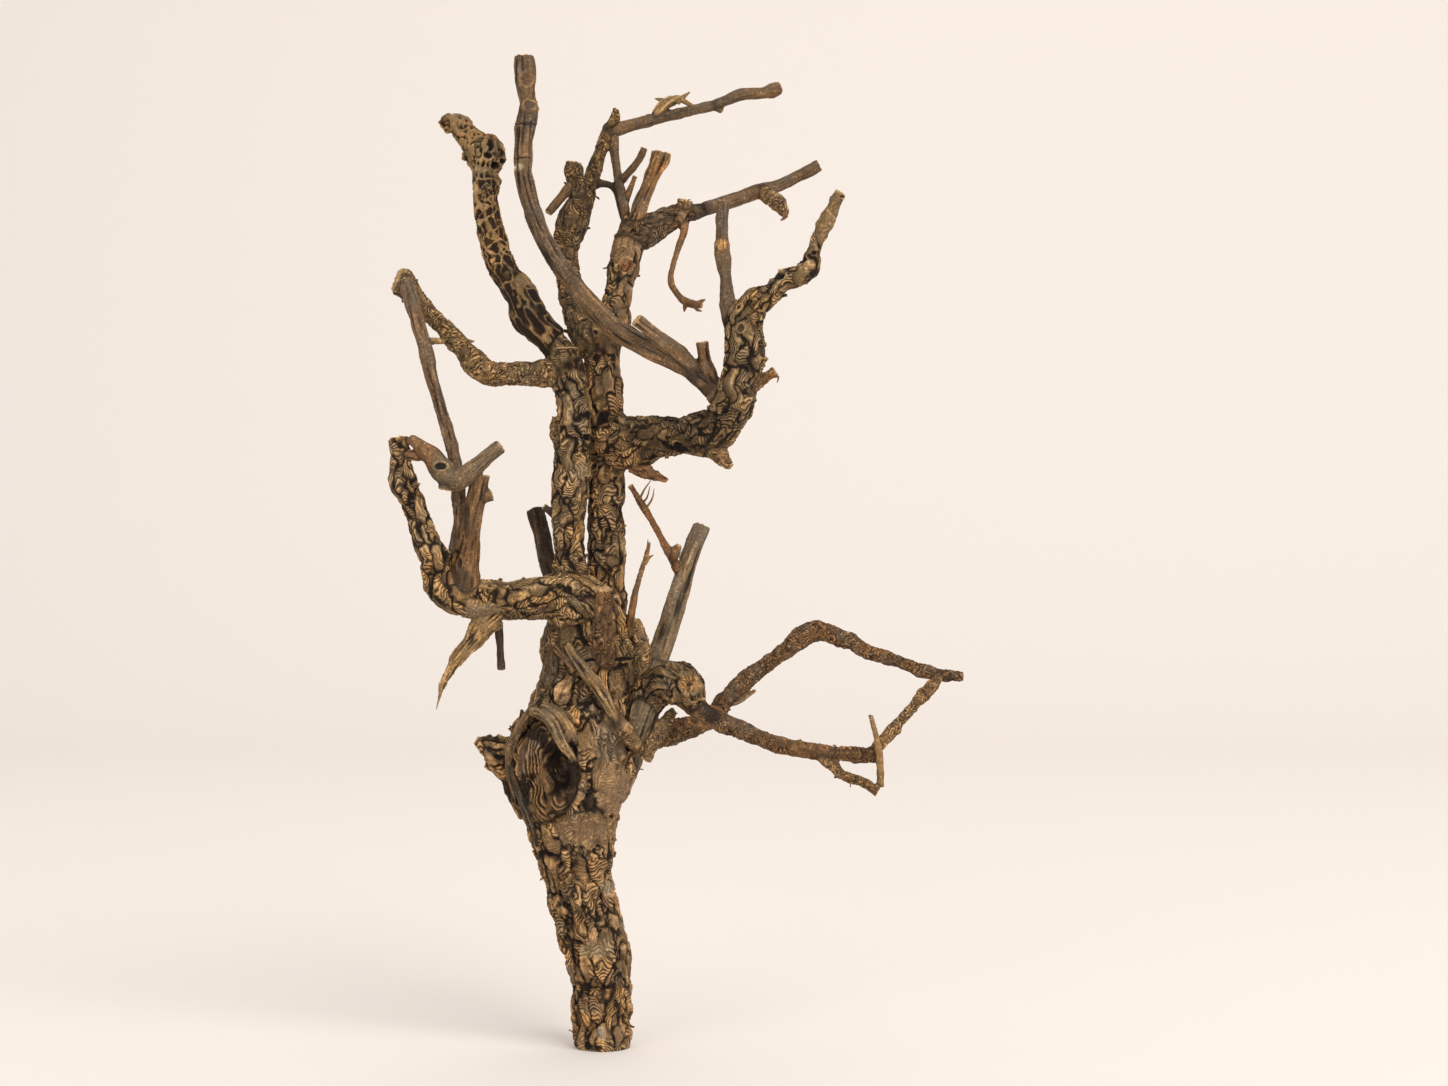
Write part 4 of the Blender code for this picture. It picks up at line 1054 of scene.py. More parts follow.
    def carve_knot(self) -> None:
        """Raise the knot's lip on the head, sink its hollow and ring it with broken folds, with painted shade in
        the hollow and gully.
        """
        x, y, z = self.places.T
        near = (np.abs(x - KNOT_X) < KNOT_REACH_X) & (np.abs(z - KNOT_Z) < KNOT_REACH_Z)
        rows = np.flatnonzero((self.limb == 0) & (y < -2) & near)
        places = self.places[rows]
        warp = places + 1.3 * np.stack([soft_noise(places, 5.0, 90 + axis) for axis in range(3)], 1)
        warp += 0.3 * np.stack([soft_noise(places, 1.8, 110 + axis) for axis in range(3)], 1)
        lip = KNOT_LIP.reach(warp)
        hollow = KNOT_HOLLOW.reach(warp)
        inside = 1 - ease_between(1.12, 1.3, lip)
        around = np.arctan2(warp[:, 2] - 79.0, warp[:, 0] + 12.0)
        left = ease_between(-0.3, 0.5, -np.cos(around))
        phase = KNOT_FOLDS.reach(warp) * FOLDS_IN_KNOT
        phase = phase + 1.2 * soft_noise(places, (2.8, 2.8, 5.0), 94)
        folds = np.cos(2 * math.pi * phase)
        broken = ease_between(-0.5, 0.1, soft_noise(places, (1.8, 1.8, 4.0), 95)) * (0.55 + 0.45 * left)
        sunk = 1 - ease_between(0.66, 1.05, hollow)
        gully = band(lip, 1.16, 0.09)
        raised = 1.4 * np.clip(1 - np.abs(lip - 0.92) / 0.36, 0, 1) - 0.9 * gully
        rough = soft_noise(places, 1.1, 97)
        self.rise[rows] = (self.rise[rows] * (1 - 0.6 * inside) + raised - 4.6 * sunk
                           + (0.4 * folds * broken + 0.3 * rough) * inside)
        ring = np.cos(2 * math.pi * hollow * 2.1) * sunk
        floor = sunk * (0.78 + 0.3 * rough) * (1 - 0.75 * np.clip(ring, 0, 1))
        shade = 0.9 * ease_between(0.0, 0.3, soft_noise(places, 2.6, 99) + 0.35 * (1 - left))
        # Painted shade on the hollow's floor, in the gully round the lip and in blotches towards the right; the
        # folds' troughs are dark, partly their own lines and partly painted shade.
        dark = np.maximum(np.maximum(np.clip(-folds, 0, 1) * broken, floor), np.maximum(shade, 0.9 * gully))
        self.furrow[rows] = self.furrow[rows] * (1 - inside) + dark * inside
        # The folds' crests are pale: partly their own lines, partly painted highlight.
        pale = np.clip(folds - 0.1, 0, 1) * 1.1 * broken * (1 - 0.8 * sunk) * (1 - 0.7 * shade)
        self.ridge[rows] = self.ridge[rows] * (1 - inside) + pale * inside
        core = lip < 1.22
        self.bark[rows, 0] += 6 * core
        self.bark[rows, 1] = np.where(core, phase + 0.175, self.bark[rows, 1])
        self.bark[rows, 2] = np.where(core, broken * (1 - 0.6 * sunk), self.bark[rows, 2])
        blend = (0.75 * inside)[:, None]
        self.tone[rows] = self.tone[rows] * (1 - blend) + np.array(KNOT_WOOD) * blend

    def finish_ends(self) -> None:
        """Give each broken or sawn end its pale, rough face, and the foot its rings."""
        routes = self.routes
        facing = (self.normals * routes.along[self.sample]).sum(1)
        end = ease_between(0.5, 0.8, facing) * (1 - ease_between(0.5, 1.4, self.to_tip)) * self.apart
        rough = soft_noise(self.grain, (2.0, 0.7, 0.7), 98)
        self.rise = self.rise * (1 - 0.8 * end) + 0.35 * rough * end
        tones = np.array([limb.end_tone for limb in routes.limbs])[self.limb]
        self.tone = self.tone * (1 - end[:, None]) + tones * end[:, None]
        # Painted shade in the low parts of a broken end's rough face.
        self.furrow = self.furrow * (1 - end) + 0.5 * np.clip(-rough, 0, 1) * end
        self.bark[:, 2] *= 1 - end
        self.bark[:, 0] += 6 * end
        foot = (self.places[:, 2] < 0.3) & (self.normals[:, 2] < -0.6)
        rings = np.cos(2 * math.pi * np.hypot(self.places[:, 0], self.places[:, 1]) / FOOT_RING_GAP)
        self.tone[foot] = SAWN_FACE
        self.furrow[foot] = 0.3 * np.clip(rings[foot], 0, 1)
        self.ridge[foot] = 0.0
        self.bark[foot, 2] = 0.0
        self.bark[foot, 0] = NO_EDGE

    def weather(self) -> None:
        """Darken what lies lower than its surroundings as painted shade, and lighten what stands higher, partly
        bleaching and partly painted highlight.
        """
        links = neighbour_sum(np.ones(len(self.rise)), self.links)
        broad = self.rise
        for _ in range(RELIEF_SHADE_ROUNDS):
            broad = (broad + neighbour_sum(broad, self.links)) / (1 + links)
        height = self.rise - broad
        # Painted shade on low ground, and paleness on high ground that is partly bleaching and partly painted
        # highlight.
        self.furrow = self.furrow + 0.4 * ease_between(0.08, 0.45, -height)
        self.ridge = self.ridge + 0.25 * ease_between(0.05, 0.35, height) * (self.furrow < 0.5)

    def moved(self) -> np.ndarray:
        """Return the carved places, with the sawn foot kept flat."""
        share = np.clip(self.places[:, 2] / FOOT_CLEAR, 0, 1)
        carved = self.places + self.normals * (self.rise * share)[:, None]
        carved[:, 2] = np.where(self.places[:, 2] < FOOT_FLAT, 0.0, np.maximum(carved[:, 2], 0.0))
        return carved


@dataclass(frozen=True)
class Patch:
    """A part of a limb's front that differs from the rest of it, as an oval the eye sees.

    Attributes:
        limb: The limb's name.
        x, z: The middle of the oval.
        half_width, half_height: Its half sizes.
        tone: Its colour.
        smooth: How far its bark is worn away, from 0 to 1.
        depth: How far it is sunk.
        lip: The height of a pale rim round it.
        dark: How dark its sunken floor is painted, from 0 to 1: painted shade.
    """

    limb: str
    x: float
    z: float
    half_width: float
    half_height: float
    tone: Colour
    smooth: float
    depth: float = 0.0
    lip: float = 0.0
    dark: float = 0.0

    def shape(self, skin: Skin) -> None:
        """Wear, sink and colour the skin inside the oval, with painted shade on its sunken floor."""
        x, _, z = skin.places.T
        number = [limb.name for limb in skin.routes.limbs].index(self.limb)
        near = np.flatnonzero((skin.limb == number) & (np.abs(x - self.x) < self.half_width * 1.7)
                              & (np.abs(z - self.z) < self.half_height * 1.7) & (skin.normals[:, 1] < 0.15))
        places = skin.places[near]
        wave = soft_noise(places, 0.35 * min(self.half_width, self.half_height) + 0.8, 101)
        oval = Oval(self.x, self.z, self.half_width, self.half_height)
        reach = oval.reach(places) + 0.24 * wave
        share = 1 - ease_between(0.8, 1.08, reach)
        rim = band(reach, 1.15, 0.22) * min(1.0, self.lip / 0.2)
        worn = share * self.smooth
        skin.rise[near] = skin.rise[near] * (1 - 0.8 * worn) - self.depth * share + self.lip * rim
        # The sunken floor is darkened as painted shade.
        skin.furrow[near] = np.maximum(skin.furrow[near] * (1 - 0.8 * worn) * (1 - 0.8 * rim), self.dark * share)
        skin.ridge[near] = np.maximum(skin.ridge[near] * (1 - 0.7 * worn), 0.6 * rim)
        blend = share[:, None] * 0.9
        grainy = 1 + 0.14 * soft_noise(places, 1.3, 103)[:, None]
        skin.tone[near] = skin.tone[near] * (1 - blend) + np.array(self.tone) * grainy * blend
        skin.bare[near] = np.maximum(skin.bare[near], worn)
        skin.bark[near, 2] *= 1 - 0.75 * np.maximum(worn, rim)
        skin.bark[near, 0] += 3.0 * worn


# Near black, painted shade in the holes, pits and slits that it colours.
HOLE_SHADE: Colour = srgb(44, 32, 22)
PLACES: tuple[Patch, ...] = (
    Patch("trunk", 4.2, 73.0, 5.0, 8.5, srgb(136, 107, 74), 0.85, 0.15),
    Patch("trunk", -5.0, 62.5, 9.5, 4.6, srgb(128, 100, 68), 0.65, 0.15),
    Patch("trunk", -2.8, 70.0, 2.0, 3.6, srgb(64, 50, 36), 0.2, 0.5, 0.0, 0.7),
    Patch("trunk", -7.0, 71.5, 2.0, 3.2, srgb(170, 130, 82), 0.7),
    Patch("trunk", 3.0, 88.0, 5.5, 7.0, srgb(108, 90, 68), 0.25),
    Patch("trunk", -0.5, 5.5, 1.2, 1.9, srgb(150, 136, 116), 0.3, 0.0, 0.2),
    Patch("trunk", -2.0, 29.0, 5.0, 2.6, srgb(132, 110, 80), 0.6),
    Patch("trunk", 2.0, 46.0, 2.2, 2.4, srgb(150, 132, 104), 0.5, 0.3, 0.3, 0.3),
    Patch("trunk", -12.0, 117.0, 5.0, 8.0, srgb(88, 70, 44), 0.75),
    Patch("trunk", 2.5, 109.6, 9.0, 0.7, HOLE_SHADE, 0.2, 0.5, 0.15, 0.85),
    Patch("trunk", -7.6, 83.5, 1.6, 2.6, HOLE_SHADE, 0.2, 0.9, 0.0, 0.85),
    Patch("round_knob", 20.0, 106.5, 2.2, 1.6, srgb(92, 72, 48), 0.2, 0.4, 0.4, 0.3),
    Patch("round_knob", 24.4, 103.2, 3.2, 2.4, srgb(146, 108, 64), 0.3, 0.3, 0.35),
    Patch("round_knob", 24.6, 103.0, 0.9, 0.7, srgb(90, 62, 36), 0.4, 0.4, 0.0, 0.6),
    Patch("left_limb", -57.2, 171.2, 1.9, 1.0, HOLE_SHADE, 0.3, 1.2, 0.3, 0.95),
    Patch("grey_fork", -35.5, 166.0, 0.5, 1.8, HOLE_SHADE, 0.0, 0.25, 0.15, 0.5),
    Patch("grey_fork", -32.0, 168.6, 0.5, 1.8, HOLE_SHADE, 0.0, 0.25, 0.15, 0.5),
    Patch("grey_fork", -49.0, 167.5, 5.5, 6.0, srgb(120, 86, 52), 0.3),
    Patch("grey_fork", -43.2, 163.0, 1.8, 1.0, HOLE_SHADE, 0.3, 0.5, 0.3, 0.8),
    Patch("middle_fork", -40.4, 139.6, 1.5, 0.7, HOLE_SHADE, 0.3, 0.5, 0.1, 0.8),
    Patch("middle_fork", -38.6, 136.4, 0.8, 1.5, HOLE_SHADE, 0.3, 0.4, 0.1, 0.6),
    Patch("left_limb", -33.0, 121.5, 6.0, 4.0, srgb(132, 112, 84), 0.6),
    Patch("left_trunk", -4.0, 171.6, 1.5, 1.0, HOLE_SHADE, 0.3, 0.7, 0.3, 0.8),
    Patch("left_trunk", -5.2, 162.5, 2.0, 2.2, srgb(150, 128, 94), 0.4, 0.3, 0.35, 0.3),
    Patch("right_trunk", 4.0, 163.5, 1.6, 2.4, srgb(110, 92, 66), 0.3, 0.4, 0.35, 0.4),
    Patch("right_trunk", 0.0, 176.0, 2.0, 4.0, HOLE_SHADE, 0.2, 0.6, 0.0, 0.7),
    Patch("crown", 6.3, 221.0, 1.9, 1.9, srgb(140, 86, 44), 0.4, 0.7, 0.4, 0.5),
    Patch("crown", 4.6, 226.0, 4.0, 5.0, srgb(126, 98, 66), 0.6),
    Patch("right_limb", 22.0, 172.0, 15.0, 9.0, srgb(84, 65, 42), 0.0),
    Patch("right_limb", 61.0, 232.0, 4.5, 10.0, srgb(134, 106, 70), 0.65),
    Patch("middle_fork", -39.5, 131.5, 5.0, 4.5, srgb(84, 62, 38), 0.0, 0.2, 0.0, 0.35),
    Patch("middle_fork", -36.4, 148.0, 1.0, 5.0, srgb(76, 54, 32), 0.2, 0.2, 0.0, 0.4),
    Patch("right_limb", 48.6, 214.0, 1.7, 1.2, HOLE_SHADE, 0.3, 0.6, 0.3, 0.85),
    Patch("right_limb", 55.0, 218.0, 1.4, 0.8, HOLE_SHADE, 0.3, 0.5, 0.0, 0.85),
    Patch("right_limb", 58.0, 219.6, 1.0, 0.7, HOLE_SHADE, 0.3, 0.5, 0.0, 0.85),
    Patch("right_limb", 44.6, 194.3, 1.6, 1.8, srgb(90, 70, 48), 0.3, 0.6, 0.5, 0.5),
    Patch("right_limb", 38.5, 200.0, 1.1, 1.2, srgb(80, 62, 44), 0.3, 0.4, 0.3, 0.5),
    Patch("right_limb_shoot", 33.3, 224.5, 1.6, 1.3, srgb(176, 132, 80), 0.6, 0.0, 0.3),
    Patch("sweeping_limb", -20.6, 259.6, 3.4, 0.5, HOLE_SHADE, 0.0, 0.2, 0.25, 0.5),
    Patch("sweeping_limb", -22.5, 249.6, 3.0, 0.4, HOLE_SHADE, 0.0, 0.2, 0.2, 0.4),
    Patch("sweeping_limb", -21.7, 272.0, 1.5, 1.8, srgb(110, 82, 54), 0.4, 0.2, 0.25, 0.25),
    Patch("sweeping_limb", -20.6, 265.0, 1.8, 1.3, srgb(100, 80, 60), 0.4, 0.2, 0.35, 0.35),
    Patch("sweeping_limb", -23.4, 247.0, 1.4, 1.0, srgb(176, 156, 128), 0.4, 0.0, 0.15),
    Patch("pitted_limb", -32.4, 256.2, 0.9, 2.6, HOLE_SHADE, 0.3, 1.3, 0.0, 0.8),
    Patch("pitted_limb", -41.2, 251.6, 1.8, 0.9, HOLE_SHADE, 0.3, 1.2, 0.0, 0.8),
    Patch("pitted_limb", -33.2, 252.3, 1.2, 0.9, HOLE_SHADE, 0.3, 1.0, 0.2, 0.95),
    Patch("pitted_limb", -31.0, 249.6, 1.3, 1.0, HOLE_SHADE, 0.3, 1.0, 0.2, 0.95),
    Patch("pitted_limb", -29.0, 251.2, 1.0, 0.8, HOLE_SHADE, 0.3, 0.9, 0.2, 0.95),
    Patch("front_arm", 30.6, 95.5, 3.2, 3.4, srgb(44, 32, 24), 0.3),
    Patch("grey_stub", 20.5, 135.0, 1.6, 9.0, srgb(138, 120, 96), 0.8),
)


@dataclass
class Driftwood:
    """The whole piece of wood: its fused skin and the pieces that it is cut into.

    Attributes:
        limbs: The limbs, with the trunk first.
        ring_gap: The distance between two rings of a limb's tube.
        voxel: The size of the fused skin's faces.
        smooth_rounds: How many times its steps are taken out.
        trunk_sides, limb_sides: How many sides a ring of a tube has.
        levels: The heights of the cuts between the pieces.
        names: The names of the pieces from the foot up.
    """

    limbs: tuple[Limb, ...]
    ring_gap: float = 1.4
    voxel: float = 0.37
    smooth_rounds: int = 4
    trunk_sides: int = 28
    limb_sides: int = 16
    levels: tuple[float, ...] = (88.0, 128.0, 172.0, 211.0)
    names: tuple[str, ...] = ("driftwood_foot_and_head", "driftwood_side_limbs", "driftwood_twin_trunks",
                              "driftwood_forks", "driftwood_crown")

    @staticmethod
    def add_tube(bm: bmesh.types.BMesh, limb: Limb, gap: float, sides: int) -> None:
        """Draw one limb as a closed tube along its route.

        Args:
            bm: The mesh that holds all tubes.
            limb: The limb to draw.
            gap: The distance between two rings.
            sides: How many sides a ring has.
        """
        route = smooth_route(limb.stations, gap)
        points = [Vector(station[:3]) for station in route]
        made = bmesh.ops.create_circle(bm, cap_ends=False, segments=sides, radius=1.0)
        ring = made["verts"]
        edges = list(dict.fromkeys(edge for vert in ring for edge in vert.link_edges))
        first_edges = edges
        along = (points[1] - points[0]).normalized()
        turn = Vector((0, 0, 1)).rotation_difference(along).to_matrix().to_4x4()
        radius = route[0][3]
        bmesh.ops.transform(bm, matrix=Matrix.Translation(points[0]) @ turn @ Matrix.Scale(radius, 4), verts=ring)
        for i in range(1, len(points)):
            ahead = points[min(i + 1, len(points) - 1)]
            next_along = (ahead - points[i - 1]).normalized()
            made = bmesh.ops.extrude_edge_only(bm, edges=edges)["geom"]
            ring = [item for item in made if isinstance(item, bmesh.types.BMVert)]
            edges = [item for item in made if isinstance(item, bmesh.types.BMEdge)]
            turn = along.rotation_difference(next_along).to_matrix().to_4x4()
            size = Matrix.Scale(route[i][3] / radius, 4)
            move = Matrix.Translation(points[i]) @ turn @ size @ Matrix.Translation(-points[i - 1])
            bmesh.ops.transform(bm, matrix=move, verts=ring)
            along, radius = next_along, route[i][3]
        bmesh.ops.holes_fill(bm, edges=first_edges + edges, sides=0)

    def fused(self) -> bpy.types.Mesh:
        """Return all limbs fused in one even skin, in millimetres."""
        bm = bmesh.new()
        self.add_tube(bm, self.limbs[0], self.ring_gap, self.trunk_sides)
        bmesh.ops.scale(bm, vec=(1.0, DEPTH_OF_TRUNK, 1.0), verts=bm.verts[:])
        for limb in self.limbs[1:]:
            self.add_tube(bm, limb, self.ring_gap, self.limb_sides)
        bmesh.ops.recalc_face_normals(bm, faces=bm.faces[:])
        mesh = bpy.data.meshes.new("driftwood_tubes")
        bm.to_mesh(mesh)
        bm.free()
        tubes = bpy.data.objects.new("driftwood_tubes", mesh)
        bpy.context.scene.collection.objects.link(tubes)
        remesh = tubes.modifiers.new("fuse", "REMESH")
        remesh.mode = "VOXEL"
        remesh.voxel_size = self.voxel * 1.0
        bpy.context.view_layer.update()
        skin = bpy.data.meshes.new_from_object(tubes.evaluated_get(bpy.context.evaluated_depsgraph_get()))
        bpy.data.objects.remove(tubes)
        bpy.data.meshes.remove(mesh)
        return skin

    @staticmethod
    def smoothed(mesh: bpy.types.Mesh, rounds: int) -> None:
        """Take the steps out of the fused skin and keep its size.

        Args:
            mesh: The mesh to smooth.
            rounds: How many pairs of a shrinking and a swelling pass.
        """
        places = read_rows(mesh.vertices, "co", 3)
        pairs = read_rows(mesh.edges, "vertices", 2, np.int64)
        links = neighbour_sum(np.ones(len(places)), pairs)
        for _ in range(rounds):
            for share in (SHRINK, SWELL):
                mean = np.stack([neighbour_sum(places[:, axis], pairs) for axis in range(3)], 1) / links[:, None]
                places = places + share * (mean - places)
        mesh.vertices.foreach_set("co", places.ravel())
        mesh.update()

    def carved(self) -> bpy.types.Mesh:
        """Return the fused skin carved with its bark, with its finish kept as attributes."""
        mesh = self.fused()
        self.smoothed(mesh, self.smooth_rounds)
        skin = Skin(read_rows(mesh.vertices, "co", 3), read_rows(mesh.vertices, "normal", 3),
                    read_rows(mesh.edges, "vertices", 2, np.int64), Routes(self.limbs))
        skin.carve()
        mesh.vertices.foreach_set("co", (skin.moved() * MM).ravel())
        mesh.update()
        # furrow and ridge carry painted shade and painted highlight along with the wood's own dark and pale marks.
        for name in ("furrow", "ridge", "bare", "grain", "tone", "bark"):
            keep_attribute(mesh, name, getattr(skin, name))
        keep_attribute(mesh, "whole_normal", read_rows(mesh.vertices, "normal", 3))
        LOG.info("skin: %d points, %d faces", len(mesh.vertices), len(mesh.polygons))
        return mesh

    def piece(self, whole: bpy.types.Mesh, name: str, low: float | None, high: float | None) -> bpy.types.Object:
        """Cut one piece out of the whole skin between two levels and close it.

        Args:
            whole: The carved skin.
            name: The piece's name.
            low, high: The levels in millimetres, or None at an end.

        Returns:
            The piece as an object at the origin.
        """
        bm = bmesh.new()
        bm.from_mesh(whole)
        for level, up in ((low, -1), (high, 1)):
            if level is None:
                continue
            cut = bmesh.ops.bisect_plane(bm, geom=bm.verts[:] + bm.edges[:] + bm.faces[:], dist=1e-7,
                                         plane_co=(0, 0, level * MM), plane_no=(0, 0, up), clear_outer=True)
            edges = [item for item in cut["geom_cut"] if isinstance(item, bmesh.types.BMEdge)]
            bmesh.ops.holes_fill(bm, edges=edges, sides=0)
        bmesh.ops.triangulate(bm, faces=[face for face in bm.faces if len(face.verts) > 4])
        mesh = bpy.data.meshes.new(name)
        bm.to_mesh(mesh)
        bm.free()
        mesh.shade_smooth()
        normals = read_rows(mesh.attributes["whole_normal"].data, "vector", 3)
        mesh.normals_split_custom_set_from_vertices(normals.tolist())
        mesh.attributes.remove(mesh.attributes["whole_normal"])
        obj = bpy.data.objects.new(name, mesh)
        bpy.context.scene.collection.objects.link(obj)
        return obj

    def build(self, material: bpy.types.Material) -> list[bpy.types.Object]:
        """Build every piece of the wood, dress it and let it ride on the frame.

        Args:
            material: The wood's finish.

        Returns:
            The pieces from the foot up.
        """
        whole = self.carved()
        whole.materials.clear()
        bounds = (None, *self.levels, None)
        pieces = []
        for name, low, high in zip(self.names, bounds, bounds[1:]):
            obj = self.piece(whole, name, low, high)
            obj.data.materials.append(material)
            on_frame(obj)
            triangles = sum(len(face.vertices) - 2 for face in obj.data.polygons)
            LOG.info("%s: %d triangles", name, triangles)
            pieces.append(obj)
        bpy.data.meshes.remove(whole)
        return pieces


@dataclass
class LooseBark:
    """Thin flakes that lift from the bark, and the fine fibres at torn places.

    Attributes:
        limbs: The limbs that the flakes lie on.
        fibres: The fibres, drawn as fine limbs.
        count: How many flakes there are.
        long, wide, thick: A flake's usual sizes in millimetres.
        lift: How far its free end stands off.
        wear: How dark, pale and bare the flakes are, from 0 to 1.
        seed: What starts the draw of their places.
        name: The piece's name.
    """

    limbs: tuple[Limb, ...]
    fibres: tuple[Limb, ...]
    count: int = 300
    long: float = 2.1
    wide: float = 1.9
    thick: float = 0.3
    lift: float = 0.45
    wear: float = 0.08
    seed: int = 11
    name: str = "loose_bark_and_fibres"

    @staticmethod
    def seat(pieces: list[bpy.types.Object], near: Vector) -> tuple[Vector, Vector]:
        """Return the point of the carved skin nearest to a place, in millimetres, and the way out there."""
        graph = bpy.context.evaluated_depsgraph_get()
        hits = [piece.closest_point_on_mesh(near * MM, depsgraph=graph) for piece in pieces]
        _, spot, out, _ = min(hits, key=lambda hit: (hit[1] - near * MM).length)
        return spot / MM, out

    def flake(self, bm: bmesh.types.BMesh, draw: random.Random, place: Matrix, size: float) -> int:
        """Add one flake to the mesh.

        Args:
            bm: The mesh.
            draw: The seeded draw of its ragged rim.
            place: Its root, with X across, Y towards the free end and Z off the bark.
            size: Its size, where 1 is usual.

        Returns:
            How many points it has.
        """
        made = bmesh.ops.create_grid(bm, x_segments=2, y_segments=3, size=0.5)["verts"]
        for vert in made:
            along = vert.co.y + 0.5
            ragged = draw.uniform(-0.16, 0.16)
            vert.co.x = (vert.co.x * (1 - 0.35 * along) + 0.4 * ragged) * self.wide * size
            vert.co.y = (along + ragged * along * 1.6) * self.long * size
            vert.co.z = (self.lift + 0.5) * along ** 1.6 - 0.5
        faces = list(dict.fromkeys(face for vert in made for face in vert.link_faces))
        solid = bmesh.ops.solidify(bm, geom=faces, thickness=self.thick)["geom"]
        verts = list(dict.fromkeys([*made, *(item for item in solid if isinstance(item, bmesh.types.BMVert))]))
        bmesh.ops.transform(bm, matrix=place, verts=verts)
        return len(verts)

    def build(self, pieces: list[bpy.types.Object], material: bpy.types.Material) -> bpy.types.Object:
        """Build the flakes and the fibres as one piece.

        Args:
            pieces: The wood that the flakes lift from.
            material: The wood's finish.

        Returns:
            The piece as an object at the origin.
        """
        draw = random.Random(self.seed)
        routes = Routes(self.limbs)
        barky = (Surface.THICK, Surface.PLATED, Surface.RINGED)
        rough = np.array([limb.surface in barky for limb in self.limbs])[routes.limb]
        weight = np.where(rough & (routes.to_tip > 3) & (routes.run > 3), routes.radius, 0.0)
        total = np.cumsum(weight)
        bm = bmesh.new()
        tones = []
        for _ in range(self.count):
            i = int(np.searchsorted(total, draw.random() * total[-1]))
            angle = draw.uniform(0, 2 * math.pi)
            along = Vector(routes.along[i]) * draw.choice((-1, 1))
            out = Vector(routes.side[i]) * math.cos(angle) + Vector(routes.front[i]) * math.sin(angle)
            near = Vector(routes.centre[i]) + out * (routes.radius[i] + 0.6)
            if routes.limb[i] == 0:
                near.y *= DEPTH_OF_TRUNK
            root, out = self.seat(pieces, near)
            along = along + out.cross(along) * draw.uniform(-0.5, 0.5)
            along = (along - out * along.dot(out)).normalized()
            place = Matrix((along.cross(out), along, out)).transposed().to_4x4()
            place.translation = root
            size = draw.uniform(0.45, 0.75) + 0.04 * min(routes.radius[i], 8.0)
            points = self.flake(bm, draw, place, size)
            tones += [np.array(self.limbs[routes.limb[i]].tone) * draw.uniform(0.55, 1.2)] * points
        for fibre in self.fibres:
            before = len(bm.verts)
            Driftwood.add_tube(bm, fibre, 1.0, 7)
            tones += [np.array(fibre.tone)] * (len(bm.verts) - before)
        bmesh.ops.recalc_face_normals(bm, faces=bm.faces[:])
        mesh = bpy.data.meshes.new(self.name)
        bm.to_mesh(mesh)
        bm.free()
        places = read_rows(mesh.vertices, "co", 3)
        for name in ("furrow", "ridge", "bare"):
            keep_attribute(mesh, name, np.full(len(places), self.wear))
        keep_attribute(mesh, "grain", places[:, [2, 0, 1]])
        keep_attribute(mesh, "tone", np.array(tones))
        keep_attribute(mesh, "bark", np.tile((NO_EDGE, 0.0, 0.0), (len(places), 1)))
        mesh.vertices.foreach_set("co", (places * MM).ravel())
        mesh.update()
        mesh.materials.append(material)
        obj = bpy.data.objects.new(self.name, mesh)
        bpy.context.scene.collection.objects.link(obj)
        on_frame(obj)
        LOG.info("%s: %d flakes, %d fibres", self.name, self.count, len(self.fibres))
        return obj


class Socket:
    """A shader socket that takes part in sums written as plain Python."""

    def __init__(self, nodes: "Nodes", output: bpy.types.NodeSocket) -> None:
        """Keep the socket and the tree that it is in."""
        self.nodes = nodes
        self.output = output

    def maths(self, operation: str, one: "Socket | float", two: "Socket | float") -> "Socket":
        """Return a Math node's result for two values."""
        return self.nodes.node("ShaderNodeMath", {"operation": operation}, {0: one, 1: two})

    def __add__(self, other: "Socket | float") -> "Socket":
        """Return the sum."""
        return self.maths("ADD", self, other)

    __radd__ = __add__

    def __sub__(self, other: "Socket | float") -> "Socket":
        """Return the difference."""
        return self.maths("SUBTRACT", self, other)

    def __rsub__(self, other: float) -> "Socket":
        """Return a number less this value."""
        return self.maths("SUBTRACT", other, self)

    def __mul__(self, other: "Socket | float") -> "Socket":
        """Return the product."""
        return self.maths("MULTIPLY", self, other)

    __rmul__ = __mul__

    def __neg__(self) -> "Socket":
        """Return the value with its sign turned."""
        return self.maths("MULTIPLY", self, -1.0)

    def __abs__(self) -> "Socket":
        """Return the value without its sign."""
        return self.maths("ABSOLUTE", self, 0.0)

    def larger(self, other: "Socket | float") -> "Socket":
        """Return the larger of two values."""
        return self.maths("MAXIMUM", self, other)

    def clamped(self) -> "Socket":
        """Return the value kept between 0 and 1."""
        return self.nodes.node("ShaderNodeClamp", {}, {"Value": self})

    def between(self, low: float, high: float) -> "Socket":
        """Return a smooth rise from 0 at low to 1 at high."""
        return self.nodes.node("ShaderNodeMapRange", {"interpolation_type": "SMOOTHSTEP"},
                               {"Value": self, "From Min": low, "From Max": high})


